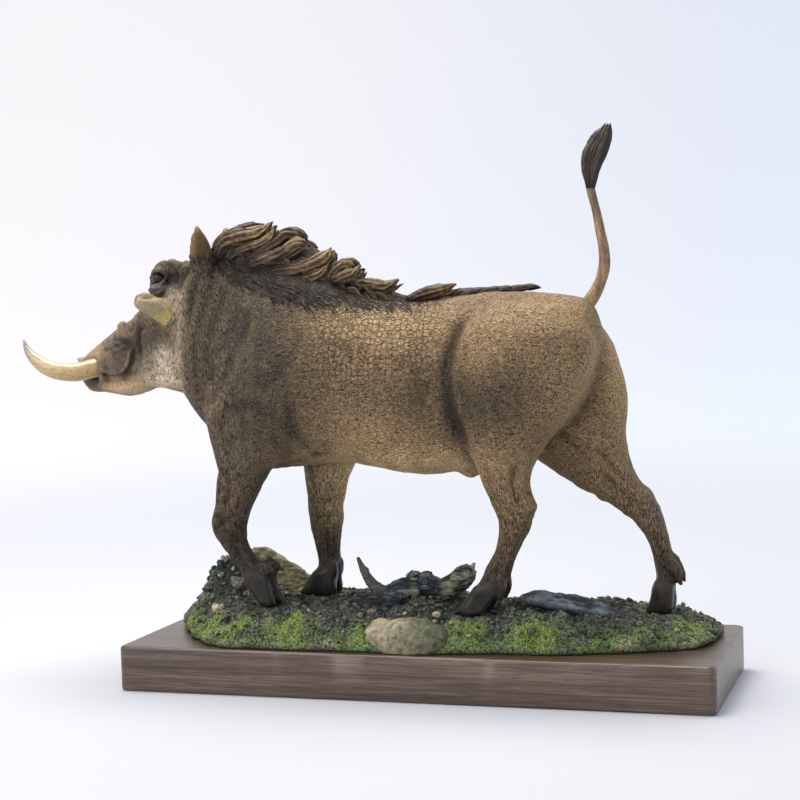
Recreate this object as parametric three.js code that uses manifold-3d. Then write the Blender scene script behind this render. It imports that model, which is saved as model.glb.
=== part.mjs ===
// Warthog statuette on a scenic ground and a wooden plinth, in millimetres, +Z up.
// The origin is the centre of the plinth's underside; the animal faces -X, its left side faces -Y.
import * as THREE from 'three';
import { LoftGeometry } from 'three/addons/geometries/LoftGeometry.js';
import { mergeVertices } from 'three/addons/utils/BufferGeometryUtils.js';
import Module from 'manifold-3d';

const wasm = await Module();
wasm.setup();

// Animal: the length from nose to rump sets the scale of its pose and carving
const hogLength = 241;
const tableLength = 241; // the figure's tables are in 241ths of that length
const hogScale = hogLength / tableLength;

// Scenic ground, glued on the plinth
const groundDepth = 14; // plinth top to the level on which the hooves stand
const groundEndMargin = 16.8; // rearmost hoof to the end of the ground
const groundSideMargin = 13.8; // outermost hoof to the long side of the ground
const soleGap = 0.1; // glue line under the hooves
const hoofRoom = 1.4; // soil kept clear around a hoof
const padMargin = 2.5; // pad under a hoof, past its sole
const padDepth = 6;

// Plinth
const plinthHeight = 19;
const plinthEndMargin = 6; // end of the ground to the end of the plinth
const plinthSideMargin = 2.2;
const plinthEdge = 1.2;
const plinthCorner = 1.6;

// Tusks and tail, set into sockets of the body
const tuskThickness = 8.2;
const farTuskShare = 0.84; // the far tusk is shorter and flatter, so it stays hidden behind the near one
const farTuskRise = 0.2;
const tailThickness = 4.8;
const tuftWidth = 11;
const socketGap = 0.3;

const standingLevel = plinthHeight + groundDepth;

// Feet: middle, half-length and half-width of the sole, and its height over the standing level
const feet = {
  nearFore: { x: -66, y: -18.5, length: 5.5, width: 9, sole: 0.8 },
  farFore: { x: -56, y: 17, length: 10.5, width: 9, sole: 0 },
  nearHind: { x: 23, y: -19, length: 9.5, width: 9, sole: 0 },
  farHind: { x: 93.7, y: 17, length: 8.5, width: 9, sole: -4.2 },
};
const rearmost = feet.farHind.x + feet.farHind.length;
const outermost = Math.abs(feet.nearHind.y) + feet.nearHind.width;
const groundLength = 2 * (rearmost * hogScale + groundEndMargin);
const groundWidth = 2 * (outermost * hogScale + groundSideMargin);
const plinthLength = groundLength + 2 * plinthEndMargin;
const plinthWidth = groundWidth + 2 * plinthSideMargin;

// Materials, as painted
const paint = (color, roughness) => new THREE.MeshStandardMaterial({ color, roughness, metalness: 0 });
const stainedWood = paint(0x4a362b, 0.6);
const soil = paint(0x4b4a34, 0.95);
const hide = paint(0x7a6446, 0.8);
const tailHair = paint(0x6f5638, 0.75);
const ivory = paint(0xcfae74, 0.35);

// A closed geometry as a solid for joining and cutting
function solidOf(geometry) {
  const bare = new THREE.BufferGeometry().copy(geometry);
  bare.deleteAttribute('normal');
  bare.deleteAttribute('uv');
  const merged = mergeVertices(bare, 1e-4);
  return new wasm.Manifold(new wasm.Mesh({
    numProp: 3,
    vertProperties: merged.attributes.position.array,
    triVerts: new Uint32Array(merged.index.array),
  }));
}

// A solid as a named mesh
function meshOf(name, solid, material) {
  const { vertProperties, triVerts } = solid.getMesh();
  const geometry = new THREE.BufferGeometry();
  geometry.setAttribute('position', new THREE.BufferAttribute(vertProperties, 3));
  geometry.setIndex(new THREE.BufferAttribute(triVerts, 1));
  geometry.computeVertexNormals();
  const mesh = new THREE.Mesh(geometry, material);
  mesh.name = name;
  return mesh;
}

function join(solids) {
  return solids.reduce((whole, solid) => whole.add(solid));
}

function smoothCurve(points) {
  return new THREE.CatmullRomCurve3(points, false, 'catmullrom');
}

// A closed skin through rows of [x1, z1, x2, z2, halfWidth, y, taper]. Each section spans two points of
// the side outline: front and back going down a leg, or top and bottom going towards the nose.
// A taper above zero makes the section narrower at its first point and wider at its second.
function skin(rows, steps, sides, roundness = 2.2) {
  const first = smoothCurve(rows.map(([x, z, , , , y]) => new THREE.Vector3(x, y, z)));
  const second = smoothCurve(rows.map(([, , x, z, , y]) => new THREE.Vector3(x, y, z)));
  const across = smoothCurve(rows.map(([, , , , width, , taper = 0]) => new THREE.Vector3(width, taper, 0)));
  const sections = [];
  for (let i = 0; i <= steps; i++) {
    const start = first.getPoint(i / steps);
    const end = second.getPoint(i / steps);
    const { x: halfWidth, y: taper } = across.getPoint(i / steps);
    const middle = start.clone().add(end).multiplyScalar(0.5);
    const reach = start.clone().sub(middle);
    const section = [];
    for (let j = 0; j < sides; j++) {
      const angle = (2 * Math.PI * j) / sides;
      const along = Math.sign(Math.cos(angle)) * Math.abs(Math.cos(angle)) ** (2 / roundness);
      const aside = Math.sign(Math.sin(angle)) * Math.abs(Math.sin(angle)) ** (2 / roundness);
      const point = middle.clone().addScaledVector(reach, along);
      point.y += aside * halfWidth * (1 - taper * along);
      section.push(point);
    }
    sections.push(section);
  }
  return solidOf(new LoftGeometry(sections, { capStart: true, capEnd: true }));
}

// A closed round rod through points of [x, y, z, halfHeight, halfWidth], as horns, roots and locks of hair.
// A flute depth above zero sinks every second side, which leaves grooves along the rod.
function rod(points, steps, sides, fluteDepth = 0) {
  const path = smoothCurve(points.map(([x, y, z]) => new THREE.Vector3(x, y, z)));
  const radii = smoothCurve(points.map(([, , , high, wide = high]) => new THREE.Vector3(high, wide, 0)));
  const sections = [];
  for (let i = 0; i <= steps; i++) {
    const middle = path.getPoint(i / steps);
    const tangent = path.getTangent(i / steps);
    const { x: high, y: wide } = radii.getPoint(i / steps);
    const reference = Math.abs(tangent.y) > 0.9 ? new THREE.Vector3(0, 0, 1) : new THREE.Vector3(0, 1, 0);
    const up = new THREE.Vector3().crossVectors(tangent, reference).normalize();
    const side = new THREE.Vector3().crossVectors(tangent, up).normalize();
    const section = [];
    for (let j = 0; j < sides; j++) {
      const angle = (2 * Math.PI * j) / sides;
      const fullness = 1 - fluteDepth * (j % 2);
      section.push(middle.clone()
        .addScaledVector(up, Math.cos(angle) * high * fullness)
        .addScaledVector(side, Math.sin(angle) * wide * fullness));
    }
    sections.push(section);
  }
  return solidOf(new LoftGeometry(sections, { capStart: true, capEnd: true }));
}

// A rounded lump with the given middle and radii
function lump([x, y, z], [rx, ry, rz], segments = 10) {
  const geometry = new THREE.SphereGeometry(1, segments, Math.ceil(segments * 0.6));
  geometry.scale(rx, ry, rz).translate(x, y, z);
  return solidOf(geometry);
}

// Trunk and neck, from the rump to behind the ears
const trunk = skin([
  [76, 110, 73, 98, 6, 0],
  [71, 125, 70, 88, 17, 0],
  [60, 128.5, 62, 76, 23, 0],
  [46, 130, 46, 66, 26, 0],
  [30, 130.3, 29, 58.5, 27.5, 0],
  [14, 128.5, 13, 56, 28.5, 0],
  [-3, 128, -3, 54.8, 30, 0],
  [-20, 131, -21, 57.6, 31, 0],
  [-37, 138.5, -38, 60.7, 30.5, 0],
  [-53, 146, -53, 58.5, 28.5, 0, 0.08],
  [-67, 150, -70, 56.5, 27, 0, 0.15],
  [-80, 151, -86, 62, 25, 0, 0.2],
  [-89, 150, -97, 75, 22.5, 0, 0.22],
  [-95, 149.5, -104, 84, 20, 0, 0.2],
  [-101, 148, -108, 90, 17.5, 0, 0.15],
], 17, 15);

// Head, from inside the neck to the disc of the snout
const skull = skin([
  [-90, 147, -97, 86, 18.5, 0],
  [-99, 147.5, -105, 89, 17.5, 0],
  [-107, 146.5, -112, 90.5, 16.5, 0],
  [-116, 142, -118, 92, 15, 0],
  [-123, 133.5, -124, 92.3, 13.8, 0],
  [-129, 126.5, -130, 90, 11.8, 0],
  [-134, 122, -136, 88.8, 10.5, 0],
  [-141, 118, -142, 89.6, 10, 0],
  [-148, 113, -147, 90.6, 10, 0],
  [-153, 109, -152, 91, 10.8, 0],
  [-155.6, 106, -155.2, 94, 10, 0],
], 13, 12, 2.8);

// Legs: front and back outline of each section, then half-width and middle
const legs = {
  nearFore: [
    [-80, 122, -44, 118, 8, -16],
    [-89, 104, -42, 98, 10.5, -19],
    [-92, 86, -50, 76, 12, -19.5],
    [-89.5, 69, -61.5, 60, 11, -19.5],
    [-87.8, 60, -65.5, 55.5, 9.8, -19],
    [-88.3, 51.5, -68.5, 50, 8.8, -19],
    [-89, 43.5, -72, 43.5, 8, -19],
    [-90.5, 36.8, -74.8, 36.8, 7.5, -19],
    [-89.5, 31, -75.9, 31, 7, -19],
    [-86.6, 25.5, -75.3, 26, 6.2, -19],
    [-83, 20.5, -72.9, 21, 5.6, -19],
    [-79.8, 16.5, -68.5, 17, 5.8, -19],
    [-76.8, 12.5, -65.5, 13, 6.2, -19],
    [-74.5, 9.5, -65, 10, 6.2, -19],
  ],
  farFore: [
    [-70, 118, -34, 112, 8, 14],
    [-72, 98, -32, 90, 10.5, 17],
    [-68, 80, -35, 72, 12, 17.5],
    [-63, 64, -37.5, 62, 10.5, 17.5],
    [-61.7, 54.3, -40.3, 54, 9.4, 17],
    [-60.6, 45.5, -42.8, 45.5, 8.3, 17],
    [-61, 38, -44.5, 38.8, 7.6, 17],
    [-60, 32.2, -43.8, 33.8, 7.4, 17],
    [-58.6, 27, -45.8, 27, 6.6, 17],
    [-57.3, 20, -46.6, 20, 5.6, 17],
    [-56.4, 14, -46.8, 14.5, 5.8, 17],
    [-57, 9.5, -46.6, 9, 6.2, 17],
    [-59, 6, -47.2, 5, 6, 17],
  ],
  nearHind: [
    [34, 127, 64, 124, 9, -12],
    [24, 119, 74.5, 113, 15.5, -14],
    [18, 107, 75.3, 102, 18, -14.5],
    [16.8, 94, 71.5, 91, 17, -15.5],
    [18, 82, 64, 79, 15.5, -16.5],
    [22, 69, 54.5, 68, 13, -17.5],
    [26.6, 57.5, 49.2, 57.5, 10.5, -19],
    [30.6, 48, 48.6, 50, 8.6, -19],
    [34, 41, 51.2, 43.5, 7.6, -19],
    [35.2, 36.5, 50.2, 38, 7.2, -19],
    [34.6, 31, 46.6, 31.5, 6.4, -19],
    [33, 24.5, 43, 24.5, 5.7, -19],
    [28.5, 17, 40.2, 17.7, 5.6, -19],
    [25.5, 11.5, 38, 11, 6.2, -19],
    [23, 8, 35, 6, 6.2, -19],
  ],
  farHind: [
    [36, 127, 66, 122, 9, 12],
    [26, 117, 76.5, 110, 15, 14],
    [22, 101, 80.3, 97, 17.5, 14.5],
    [24, 84, 81.8, 84, 16.5, 15],
    [31, 71, 81, 70.5, 14.5, 15.5],
    [42, 61, 82, 61.5, 12, 16.5],
    [55, 51, 84.3, 54, 9.6, 17],
    [66, 44.5, 88, 49.4, 8.4, 17],
    [76, 39, 92.5, 46.5, 7.6, 17],
    [83, 33.8, 94.4, 39, 7.2, 17],
    [88, 27.5, 97, 31.8, 6.4, 17],
    [91, 20.5, 99, 25, 5.6, 17],
    [92.5, 13.5, 100.3, 17, 5.6, 17],
    [92.8, 8.5, 100.5, 9.5, 5.9, 17],
    [91.5, 4, 100.2, 4, 6, 17],
  ],
};
const legSolids = Object.values(legs).map((rows) => skin(rows, rows.length, 8));

// Hooves: two claws to a foot, each from the coronet down to its flat sole, and two dewclaws behind
const hooves = {
  nearFore: {
    claw: [[-78, 16, -65, 15, 3.4], [-75.5, 10, -63.5, 9, 3.9], [-71.5, 5, -62.5, 4.5, 3.8], [-68.5, 0.8, -62, 0.8, 3.3]],
    dewclaw: [[-69, -1, 19, 2.4], [-64.5, 0, 17, 2.2], [-60.6, 0, 14, 0.8]],
  },
  farFore: {
    claw: [[-57.6, 11, -48, 10.5, 3.3], [-60.5, 6.5, -47.2, 6, 3.8], [-63.2, 2.5, -47, 2.5, 4], [-64.6, 0, -47.5, 0, 3.9]],
    dewclaw: [[-51, 0, 16, 2.2], [-48, 0, 13, 2], [-46.6, 0, 8.5, 0.9]],
  },
  nearHind: {
    claw: [[25, 12, 36, 11, 3.4], [21.2, 6.5, 33.5, 5.5, 3.9], [17.6, 2.5, 31, 2.5, 4], [15.4, 0, 30, 0, 3.9]],
    dewclaw: [[35, 0, 16, 2.3], [37, 0, 11, 2.4], [36, 0, 5, 1]],
  },
  farHind: {
    claw: [[92, 9, 100, 8, 3.3], [90.6, 3.5, 100.2, 3, 3.8], [88.8, -1.5, 100, -1.5, 3.9], [87.6, -4.2, 99.6, -4.2, 3.8]],
    dewclaw: [[98.5, 0, 19, 2.5], [101.8, 0, 13, 2.3], [104.2, 0, 6.4, 1]],
  },
};
const clawOffset = 4; // half the distance between the middles of the two claws
const hoofSolids = Object.entries(hooves).flatMap(([foot, { claw, dewclaw }]) => [-1, 1].flatMap((side) => {
  const y = feet[foot].y + side * clawOffset;
  return [
    skin(claw.map(([x1, z1, x2, z2, width]) => [x1, z1, x2, z2, width, y]), 3, 6),
    rod(dewclaw.map(([x, , z, radius]) => [x, y, z, radius]), 2, 4),
  ];
}));

// Head carving, the same on both sides: cheek, brow, eye, warts, lip over the tusk, ear
const nearSide = -1;
const farSide = 1;
function faceOf(side) {
  const cheek = lump([-112, side * 11, 105], [11, 7.5, 14], 6);
  const brow = rod([
    [-101, side * 10, 142.5, 3.4], [-107, side * 11.5, 144, 3.6], [-113, side * 11.5, 144, 3.6], [-118.5, side * 10.5, 139, 2.2],
  ], 4, 6);
  const eye = lump([-113.6, side * 14, 140.6], [3.2, 2.8, 2.8], 6);
  const bigWart = rod([
    [-111, side * 12, 120, 6, 5.5], [-114.5, side * 17, 124, 4.6, 4.4], [-118, side * 22, 128.5, 3.4], [-120, side * 25.5, 131, 1.6],
  ], 4, 6);
  const smallWart = rod([
    [-131.5, side * 7, 113, 4], [-134, side * 9.5, 117, 2.8], [-135.5, side * 11.5, 119, 1.3],
  ], 2, 5);
  const lip = rod([
    [-128, side * 8, 104, 6, 4], [-134, side * 10, 104.5, 8.5, 5], [-140, side * 11, 103.5, 8.5, 5], [-145.5, side * 10.5, 102, 5.5, 4],
  ], 4, 6);
  const ear = skin([
    [-95.6, 162.4, -94.4, 162.4, 0.5, side * 15.5],
    [-98.6, 158.5, -92.6, 158.5, 2.8, side * 15.2],
    [-100.6, 153.5, -90.8, 153.5, 4.4, side * 14.5],
    [-101.5, 148, -90, 148, 4.4, side * 13.5],
    [-102, 143, -90, 143, 3.8, side * 12.5],
  ], 5, 6);
  const earHollow = rod([
    [-103, side * 15, 147.5, 3, 2.2], [-101.8, side * 15.8, 152.5, 2.8, 2.4], [-99.5, side * 16, 157.5, 1.2, 1],
  ], 2, 5);
  const nostril = lump([-156, side * 4.2, 99.6], [2.2, 1.8, 2.3], 5);
  return { raised: [cheek, brow, eye, bigWart, smallWart, lip, ear], hollows: [earHollow, nostril] };
}
const faces = [faceOf(nearSide), faceOf(farSide)];

const sheath = rod([[24, 0, 62, 6, 5], [19, 0, 56.5, 4, 4], [15.6, 0, 53.8, 2.2]], 4, 8);

// Mane: a crest with S-shaped locks on it, each [root, ..., tip] as [x, y, z], then breadth and thickness
const crest = skin([
  [12, 130.6, 12, 120, 4.5, 0],
  [-5, 129.8, -5, 120, 6.5, 0, 0.3],
  [-22, 136, -22, 122, 9, 0, 0.35],
  [-37, 144, -37, 127, 11, 0, 0.35],
  [-50, 152, -50, 132, 12, 0, 0.35],
  [-64, 158, -62, 136, 12.5, 0, 0.35],
  [-78, 160, -74, 138, 12, 0, 0.3],
  [-89, 157, -84, 140, 10, 0, 0.3],
  [-92.5, 150, -90, 140, 5, 0],
], 8, 8);
const bigLocks = [
  { path: [[-92, -2, 148], [-89.6, -2, 154.6], [-83.4, -1, 158], [-76, 0, 160.4], [-70.5, 0, 161.6]], breadth: 5 },
  { path: [[-89, -9, 148], [-85, -9, 154], [-77, -9, 156.5], [-70, -8, 157.5], [-64, -7, 161.8]], breadth: 6 },
  { path: [[-81, -12, 148], [-74, -12, 151.5], [-67, -11, 153.5], [-63, -10, 156.5], [-61.8, -10, 160.6]], breadth: 3.4, sides: 4 },
  { path: [[-74, -11, 146], [-67, -10, 150], [-61, -8, 154], [-57, -6, 157], [-52, -5, 156], [-49.5, -4, 152.4]], breadth: 5.4 },
  { path: [[-72, -13, 144], [-63, -12.5, 147], [-57, -12, 149], [-51, -11, 152.6], [-46.5, -10, 151.6]], breadth: 5 },
  { path: [[-62, -13, 141], [-51, -12, 142], [-45, -10, 144], [-40, -8, 147], [-38, -7, 150.4]], breadth: 5.4 },
  { path: [[-57, -13, 138], [-47, -12, 138], [-41, -11, 140], [-38, -10, 144]], breadth: 4, sides: 4 },
  { path: [[-38, -10, 136.4], [-35.4, -8, 140.6], [-31.6, -7, 143.4], [-28.4, -6, 142.8], [-27.2, -5, 139.6]], breadth: 4.6 },
  { path: [[-36, -12, 136.4], [-31, -11, 138.4], [-28, -9, 139.6], [-25, -8, 142.4]], breadth: 4.2, sides: 4 },
  { path: [[-29, -8, 136], [-22, -7, 135], [-15, -6, 133.6], [-9, -4, 136.6]], breadth: 4.6 },
  { path: [[-5, -6, 127.6], [2, -5, 130.6], [9, -4, 131.8], [15.5, -3, 134]], breadth: 4 },
];
const farLean = 0.85; // the far side's locks stand a little closer to the crest
const farSlip = -3; // and are set a little further forward
function lock({ path, breadth, sides = 5 }) {
  const swell = [0.8, 1, 1.05, 1, 0.85];
  return rod(path.map(([x, y, z], i) => {
    const radius = (breadth / 2) * (i === path.length - 1 ? 0.16 : swell[i]);
    return [x, y, z, radius, radius * 1.15];
  }), 4, sides);
}
function mirrored({ path, breadth }) {
  return { path: path.map(([x, y, z]) => [x + farSlip, -y * farLean, z - 0.6]), breadth, sides: 4 };
}
// Short hair along the spine behind the mane, lying back in overlapping tufts
const spineHair = [];
const spineTufts = 3;
for (let i = 0; i < spineTufts; i++) {
  const x = 8 + 14 * i;
  const back = 128.6 + 0.5 * i;
  spineHair.push({ path: [[x, 0, back - 0.4], [x + 8, -0.6, back + 1.7], [x + 16, -1, back + 1.8]], breadth: 3.4, sides: 4 });
}
const farLocks = bigLocks.slice(1).filter(({ breadth }) => breadth > 4.5).map(mirrored);
const mane = [crest, ...[...bigLocks, ...farLocks, ...spineHair].map(lock)];

// Tusks: curved cones from their sockets in the lip, out and up
function tuskSolid({ side, share, rise }, extra) {
  const radius = tuskThickness / 2;
  const root = [-141, 9, 102.8];
  const path = [
    [root, 0.86], [[-146.5, 13, 102], 1], [[-153.5, 16.5, 100.4], 0.98], [[-161, 19, 101], 0.94],
    [[-167, 20.3, 103.2], 0.82], [[-172, 20.8, 107], 0.62], [[-175.2, 20.6, 110.8], 0.38], [[-177.2, 20, 115.2], 0.07],
  ];
  const points = path.map(([[x, y, z], fullness], i) => [
    root[0] + (x - root[0]) * share + (i === 0 ? extra : 0),
    side * (root[1] + (y - root[1]) * share - (i === 0 ? extra : 0)),
    root[2] + (z - root[2]) * share * rise,
    radius * fullness + extra,
  ]);
  return rod(points, 8, 8);
}
const tusks = [
  { name: 'tusk_left', side: nearSide, share: 1, rise: 1 },
  { name: 'tusk_right', side: farSide, share: farTuskShare, rise: farTuskRise },
];

// Tail: a thin whip held upright, with a tuft of twisted locks at its end
function tailRod(extra) {
  const radius = tailThickness / 2;
  return rod([
    [64.5 - extra, 0, 119 - extra, radius * 1.25 + extra], [70.7, 0, 125.6, radius * 1.2 + extra],
    [74.6, 0, 132, radius * 1.02 + extra], [76.8, 0, 139, radius + extra], [76.9, 0, 146, radius * 0.92 + extra],
    [75.7, 0, 153, radius * 0.84 + extra], [74.1, 0, 161.5, radius * 0.76 + extra],
    [72.1, 0, 170, radius * 0.72 + extra], [71.6, 0, 176, radius * 0.8 + extra],
  ], 11, 7);
}
function tuft() {
  const half = tuftWidth / 2;
  return rod([
    [71.8, 0, 171, 1.5], [72, 0, 178, half * 0.62], [74, 0, 185, half],
    [77, 0, 191, half * 0.9], [80, 0, 197, half * 0.2],
  ], 7, 12, 0.25);
}

const tuskSockets = tusks.map((tusk) => tuskSolid(tusk, socketGap));
const body = join([
  trunk, skull, ...legSolids, ...hoofSolids, ...faces.flatMap(({ raised }) => raised), sheath, ...mane,
]).subtract(join([...faces.flatMap(({ hollows }) => hollows), ...tuskSockets, tailRod(socketGap)]));

const hog = new THREE.Group();
hog.scale.setScalar(hogScale);
hog.position.z = standingLevel + soleGap;
hog.add(meshOf('warthog', body, hide));
hog.add(meshOf('tail', tailRod(0).add(tuft()), tailHair));
for (const tusk of tusks) {
  hog.add(meshOf(tusk.name, tuskSolid(tusk, 0), ivory));
}

// Scenic ground: its outline on the plinth in shares of half its length and half its width
const groundOutline = new THREE.CatmullRomCurve3([
  [1, 0.15], [1, 0.55], [0.93, 0.86], [0.75, 0.98], [0.4, 1], [0, 0.95], [-0.4, 1], [-0.76, 0.95], [-0.96, 0.74],
  [-1, 0.36], [-0.96, 0], [-0.9, -0.28], [-0.82, -0.64], [-0.7, -0.95], [-0.54, -1], [-0.37, -0.99], [-0.19, -0.96],
  [-0.02, -0.98], [0.16, -0.92], [0.32, -0.82], [0.48, -0.82], [0.65, -0.68], [0.81, -0.5], [0.95, -0.27],
].map(([x, y]) => new THREE.Vector3((x * groundLength) / 2, (y * groundWidth) / 2, 0)), true);

// Rises and dips of the soil: middle, spread along X and Y, and height, in the figure's own units
const rises = [
  { x: -94, y: 5, dx: 9, dy: 11, height: 15 },
  { x: -104, y: 7, dx: 9, dy: 15, height: 13 },
  { x: -90, y: 27, dx: 9, dy: 9, height: 6 },
  { x: -4, y: -2, dx: 16, dy: 9, height: 4 },
  { x: -30, y: 26, dx: 20, dy: 8, height: -2 },
  { x: 45, y: 28, dx: 45, dy: 16, height: -3 },
  { x: 100, y: 10, dx: 18, dy: 20, height: -4 },
];
const flatShare = 0.62; // the soil slopes down to its rim outside this share of the outline
const rimLevel = 0.2;
function soilHeight(x, y, share) {
  const rim = Math.max(0, (share - flatShare) / (1 - flatShare));
  const level = 1 - (1 - rimLevel) * rim ** 2.2;
  let height = 0;
  for (const rise of rises) {
    const spread = ((x / hogScale - rise.x) / rise.dx) ** 2 + ((y / hogScale - rise.y) / rise.dy) ** 2;
    height += rise.height * hogScale * Math.exp(-spread);
  }
  const grain = 0.7 * Math.sin(x * 0.55 + y * 0.31) + 0.6 * Math.sin(y * 0.62 - x * 0.23);
  return level * (groundDepth + height + grain);
}
function soilBed() {
  const sides = 32;
  const shares = [1, 0.97, 0.9, 0.79, 0.66, 0.5, 0.32, 0.14];
  const ring = (share, heightAt) => Array.from({ length: sides }, (_, j) => {
    const point = groundOutline.getPoint(j / sides).multiplyScalar(share);
    point.z = plinthHeight + heightAt(point);
    return point;
  });
  const sections = [ring(0.985, () => 0), ...shares.map((share) => ring(share, ({ x, y }) => soilHeight(x, y, share)))];
  return solidOf(new LoftGeometry(sections, { capStart: true, capEnd: true }));
}

// Pads level with the soles, and the room that the hooves need in the soil
function column({ x, y, length, width }, margin, from, to) {
  const geometry = new THREE.CylinderGeometry(1, 1, 1, 8);
  geometry.rotateX(Math.PI / 2);
  geometry.scale(length * hogScale + margin, width * hogScale + margin, to - from);
  geometry.translate(x * hogScale, y * hogScale, (from + to) / 2);
  return solidOf(geometry);
}
const soleLevel = ({ sole }) => standingLevel + sole * hogScale;
const pads = Object.values(feet).map((foot) => column(foot, padMargin, soleLevel(foot) - padDepth, soleLevel(foot)));
const hoofRooms = Object.values(feet).map((foot) => column(foot, hoofRoom, soleLevel(foot), soleLevel(foot) + padDepth));

// What lies on the soil, in the figure's units over the standing level
function stone([x, y, z], [rx, ry, rz], turn, lean, detail = 0) {
  const geometry = new THREE.IcosahedronGeometry(1, detail);
  geometry.scale(rx, ry, rz).rotateY(lean).rotateZ(turn).translate(x, y, z);
  return solidOf(geometry);
}
function slab() {
  const outline = new THREE.Shape([[-17, -10], [-17.5, 4], [-12, 6.2], [9, 4.5], [15, 0.5], [12, -9]]
    .map(([x, z]) => new THREE.Vector2(x, z)));
  const geometry = new THREE.ExtrudeGeometry(outline, {
    depth: 6, bevelThickness: 1.6, bevelSize: 1.6, bevelSegments: 1,
  });
  geometry.rotateX(Math.PI / 2 - 0.35).rotateY(0.45).translate(-77.5, 32, 4.8);
  return solidOf(geometry);
}
const driftwood = [
  rod([
    [-47, -6, -4, 2.2], [-36, -6, 0, 3.6], [-24, -5, 3, 4.8], [-10, -4, 5, 5.6, 7],
    [2, -4, 6.5, 5, 6], [12, -3, 11.5, 3.6], [18.5, -2, 15.4, 3.1],
  ], 8, 7),
  rod([[-20, -5, 3, 2.6], [-26.5, -5, 8, 2.1], [-29, -5.5, 13.5, 1.6], [-31, -6, 19.4, 0.7]], 4, 6),
  rod([[-8, -6, 4, 3.4], [-13, -14, 1.5, 2.6], [-19, -21, -2.5, 1.6]], 3, 6),
  rod([[0, -2, 6, 3.6], [8, 8, 3, 2.8], [14, 16, -2.5, 1.8]], 3, 6),
];
const bark = rod([
  [43, -12, 3.6, 1.8, 3], [50, -12, 4.6, 2.6, 6], [60, -11.5, 2.4, 2.8, 7.5], [72, -11, 0, 2.6, 7], [85, -10, -4.5, 1.6, 4],
], 5, 7);
const bigStones = [
  stone([-3, -34, -7], [18, 8, 7], 0, 0.05, 1),
  stone([-88, -26, -5], [9, 7, 5.5], 0.5, 0),
  stone([52, -28, -7], [10, 6, 5], -0.3, 0),
  stone([104, 3, -6], [8, 9, 4.5], 0.4, 0),
  stone([-103, 8, 2], [6, 6.5, 5.5], 0.3, 0.2),
  stone([70, 29, -4], [10, 6, 5], 0.2, 0),
  stone([-28, 30, -3.5], [9, 6, 4.5], 0.6, 0),
  stone([-5, -4, 8], [9, 5, 4.5], 0.1, 0),
];

// Clods of soil, scattered in a widening spiral that keeps off the hooves and the driftwood
function clods() {
  const solids = [];
  const goldenAngle = Math.PI * (3 - Math.sqrt(5));
  const clodCount = 21;
  for (let i = 0; i < clodCount; i++) {
    const share = 0.9 * Math.sqrt((i + 0.5) / clodCount);
    const point = groundOutline.getPoint(((i * goldenAngle) / (2 * Math.PI)) % 1).multiplyScalar(share);
    const room = Math.min(...Object.values(feet).map(({ x, y }) => (
      Math.hypot(point.x - x * hogScale, point.y - y * hogScale))));
    const size = 2.3 + 1.5 * Math.abs(Math.sin(i * 2.4));
    if (room > 15 * hogScale + size) {
      const geometry = new THREE.OctahedronGeometry(size, 0);
      geometry.scale(1.1, 0.95, 0.85).rotateX(0.5 * i).rotateZ(i);
      geometry.translate(point.x, point.y, plinthHeight + soilHeight(point.x, point.y, share) - size * 0.25);
      solids.push(solidOf(geometry));
    }
  }
  return solids;
}

const scatter = new THREE.Group();
const onSoil = join([slab(), ...driftwood, bark, ...bigStones]);
const lifted = onSoil.getMesh();
const liftedGeometry = new THREE.BufferGeometry();
liftedGeometry.setAttribute('position', new THREE.BufferAttribute(lifted.vertProperties, 3));
liftedGeometry.setIndex(new THREE.BufferAttribute(lifted.triVerts, 1));
liftedGeometry.scale(hogScale, hogScale, hogScale).translate(0, 0, standingLevel);
const ground = join([soilBed(), solidOf(liftedGeometry), ...clods(), ...pads]).subtract(join(hoofRooms));

// Plinth: a block with lightly rounded corners and edges
function plinthSolid() {
  const halfLength = plinthLength / 2 - plinthEdge;
  const halfWidth = plinthWidth / 2 - plinthEdge;
  const outline = new THREE.Shape();
  [[1, 1, 0], [-1, 1, 1], [-1, -1, 2], [1, -1, 3]].forEach(([x, y, quarter]) => {
    outline.absarc(
      x * (halfLength - plinthCorner), y * (halfWidth - plinthCorner), plinthCorner,
      (quarter * Math.PI) / 2, ((quarter + 1) * Math.PI) / 2,
    );
  });
  const geometry = new THREE.ExtrudeGeometry(outline, {
    depth: plinthHeight - 2 * plinthEdge, bevelThickness: plinthEdge, bevelSize: plinthEdge,
    bevelSegments: 1, curveSegments: 2,
  });
  geometry.translate(0, 0, plinthEdge);
  return solidOf(geometry);
}

const statuette = new THREE.Group();
statuette.add(meshOf('plinth', plinthSolid(), stainedWood));
statuette.add(meshOf('ground', ground, soil));
statuette.add(hog);

export default statuette;
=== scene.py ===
"""Warthog statuette on a mossy ground and a wooden plinth: its looks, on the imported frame.

Tables are in millimetres. The figure's heights count from the level its hooves stand on.
"""

import math

import bpy
import numpy as np
from mathutils import Matrix, Vector
from mathutils.bvhtree import BVHTree


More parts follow.
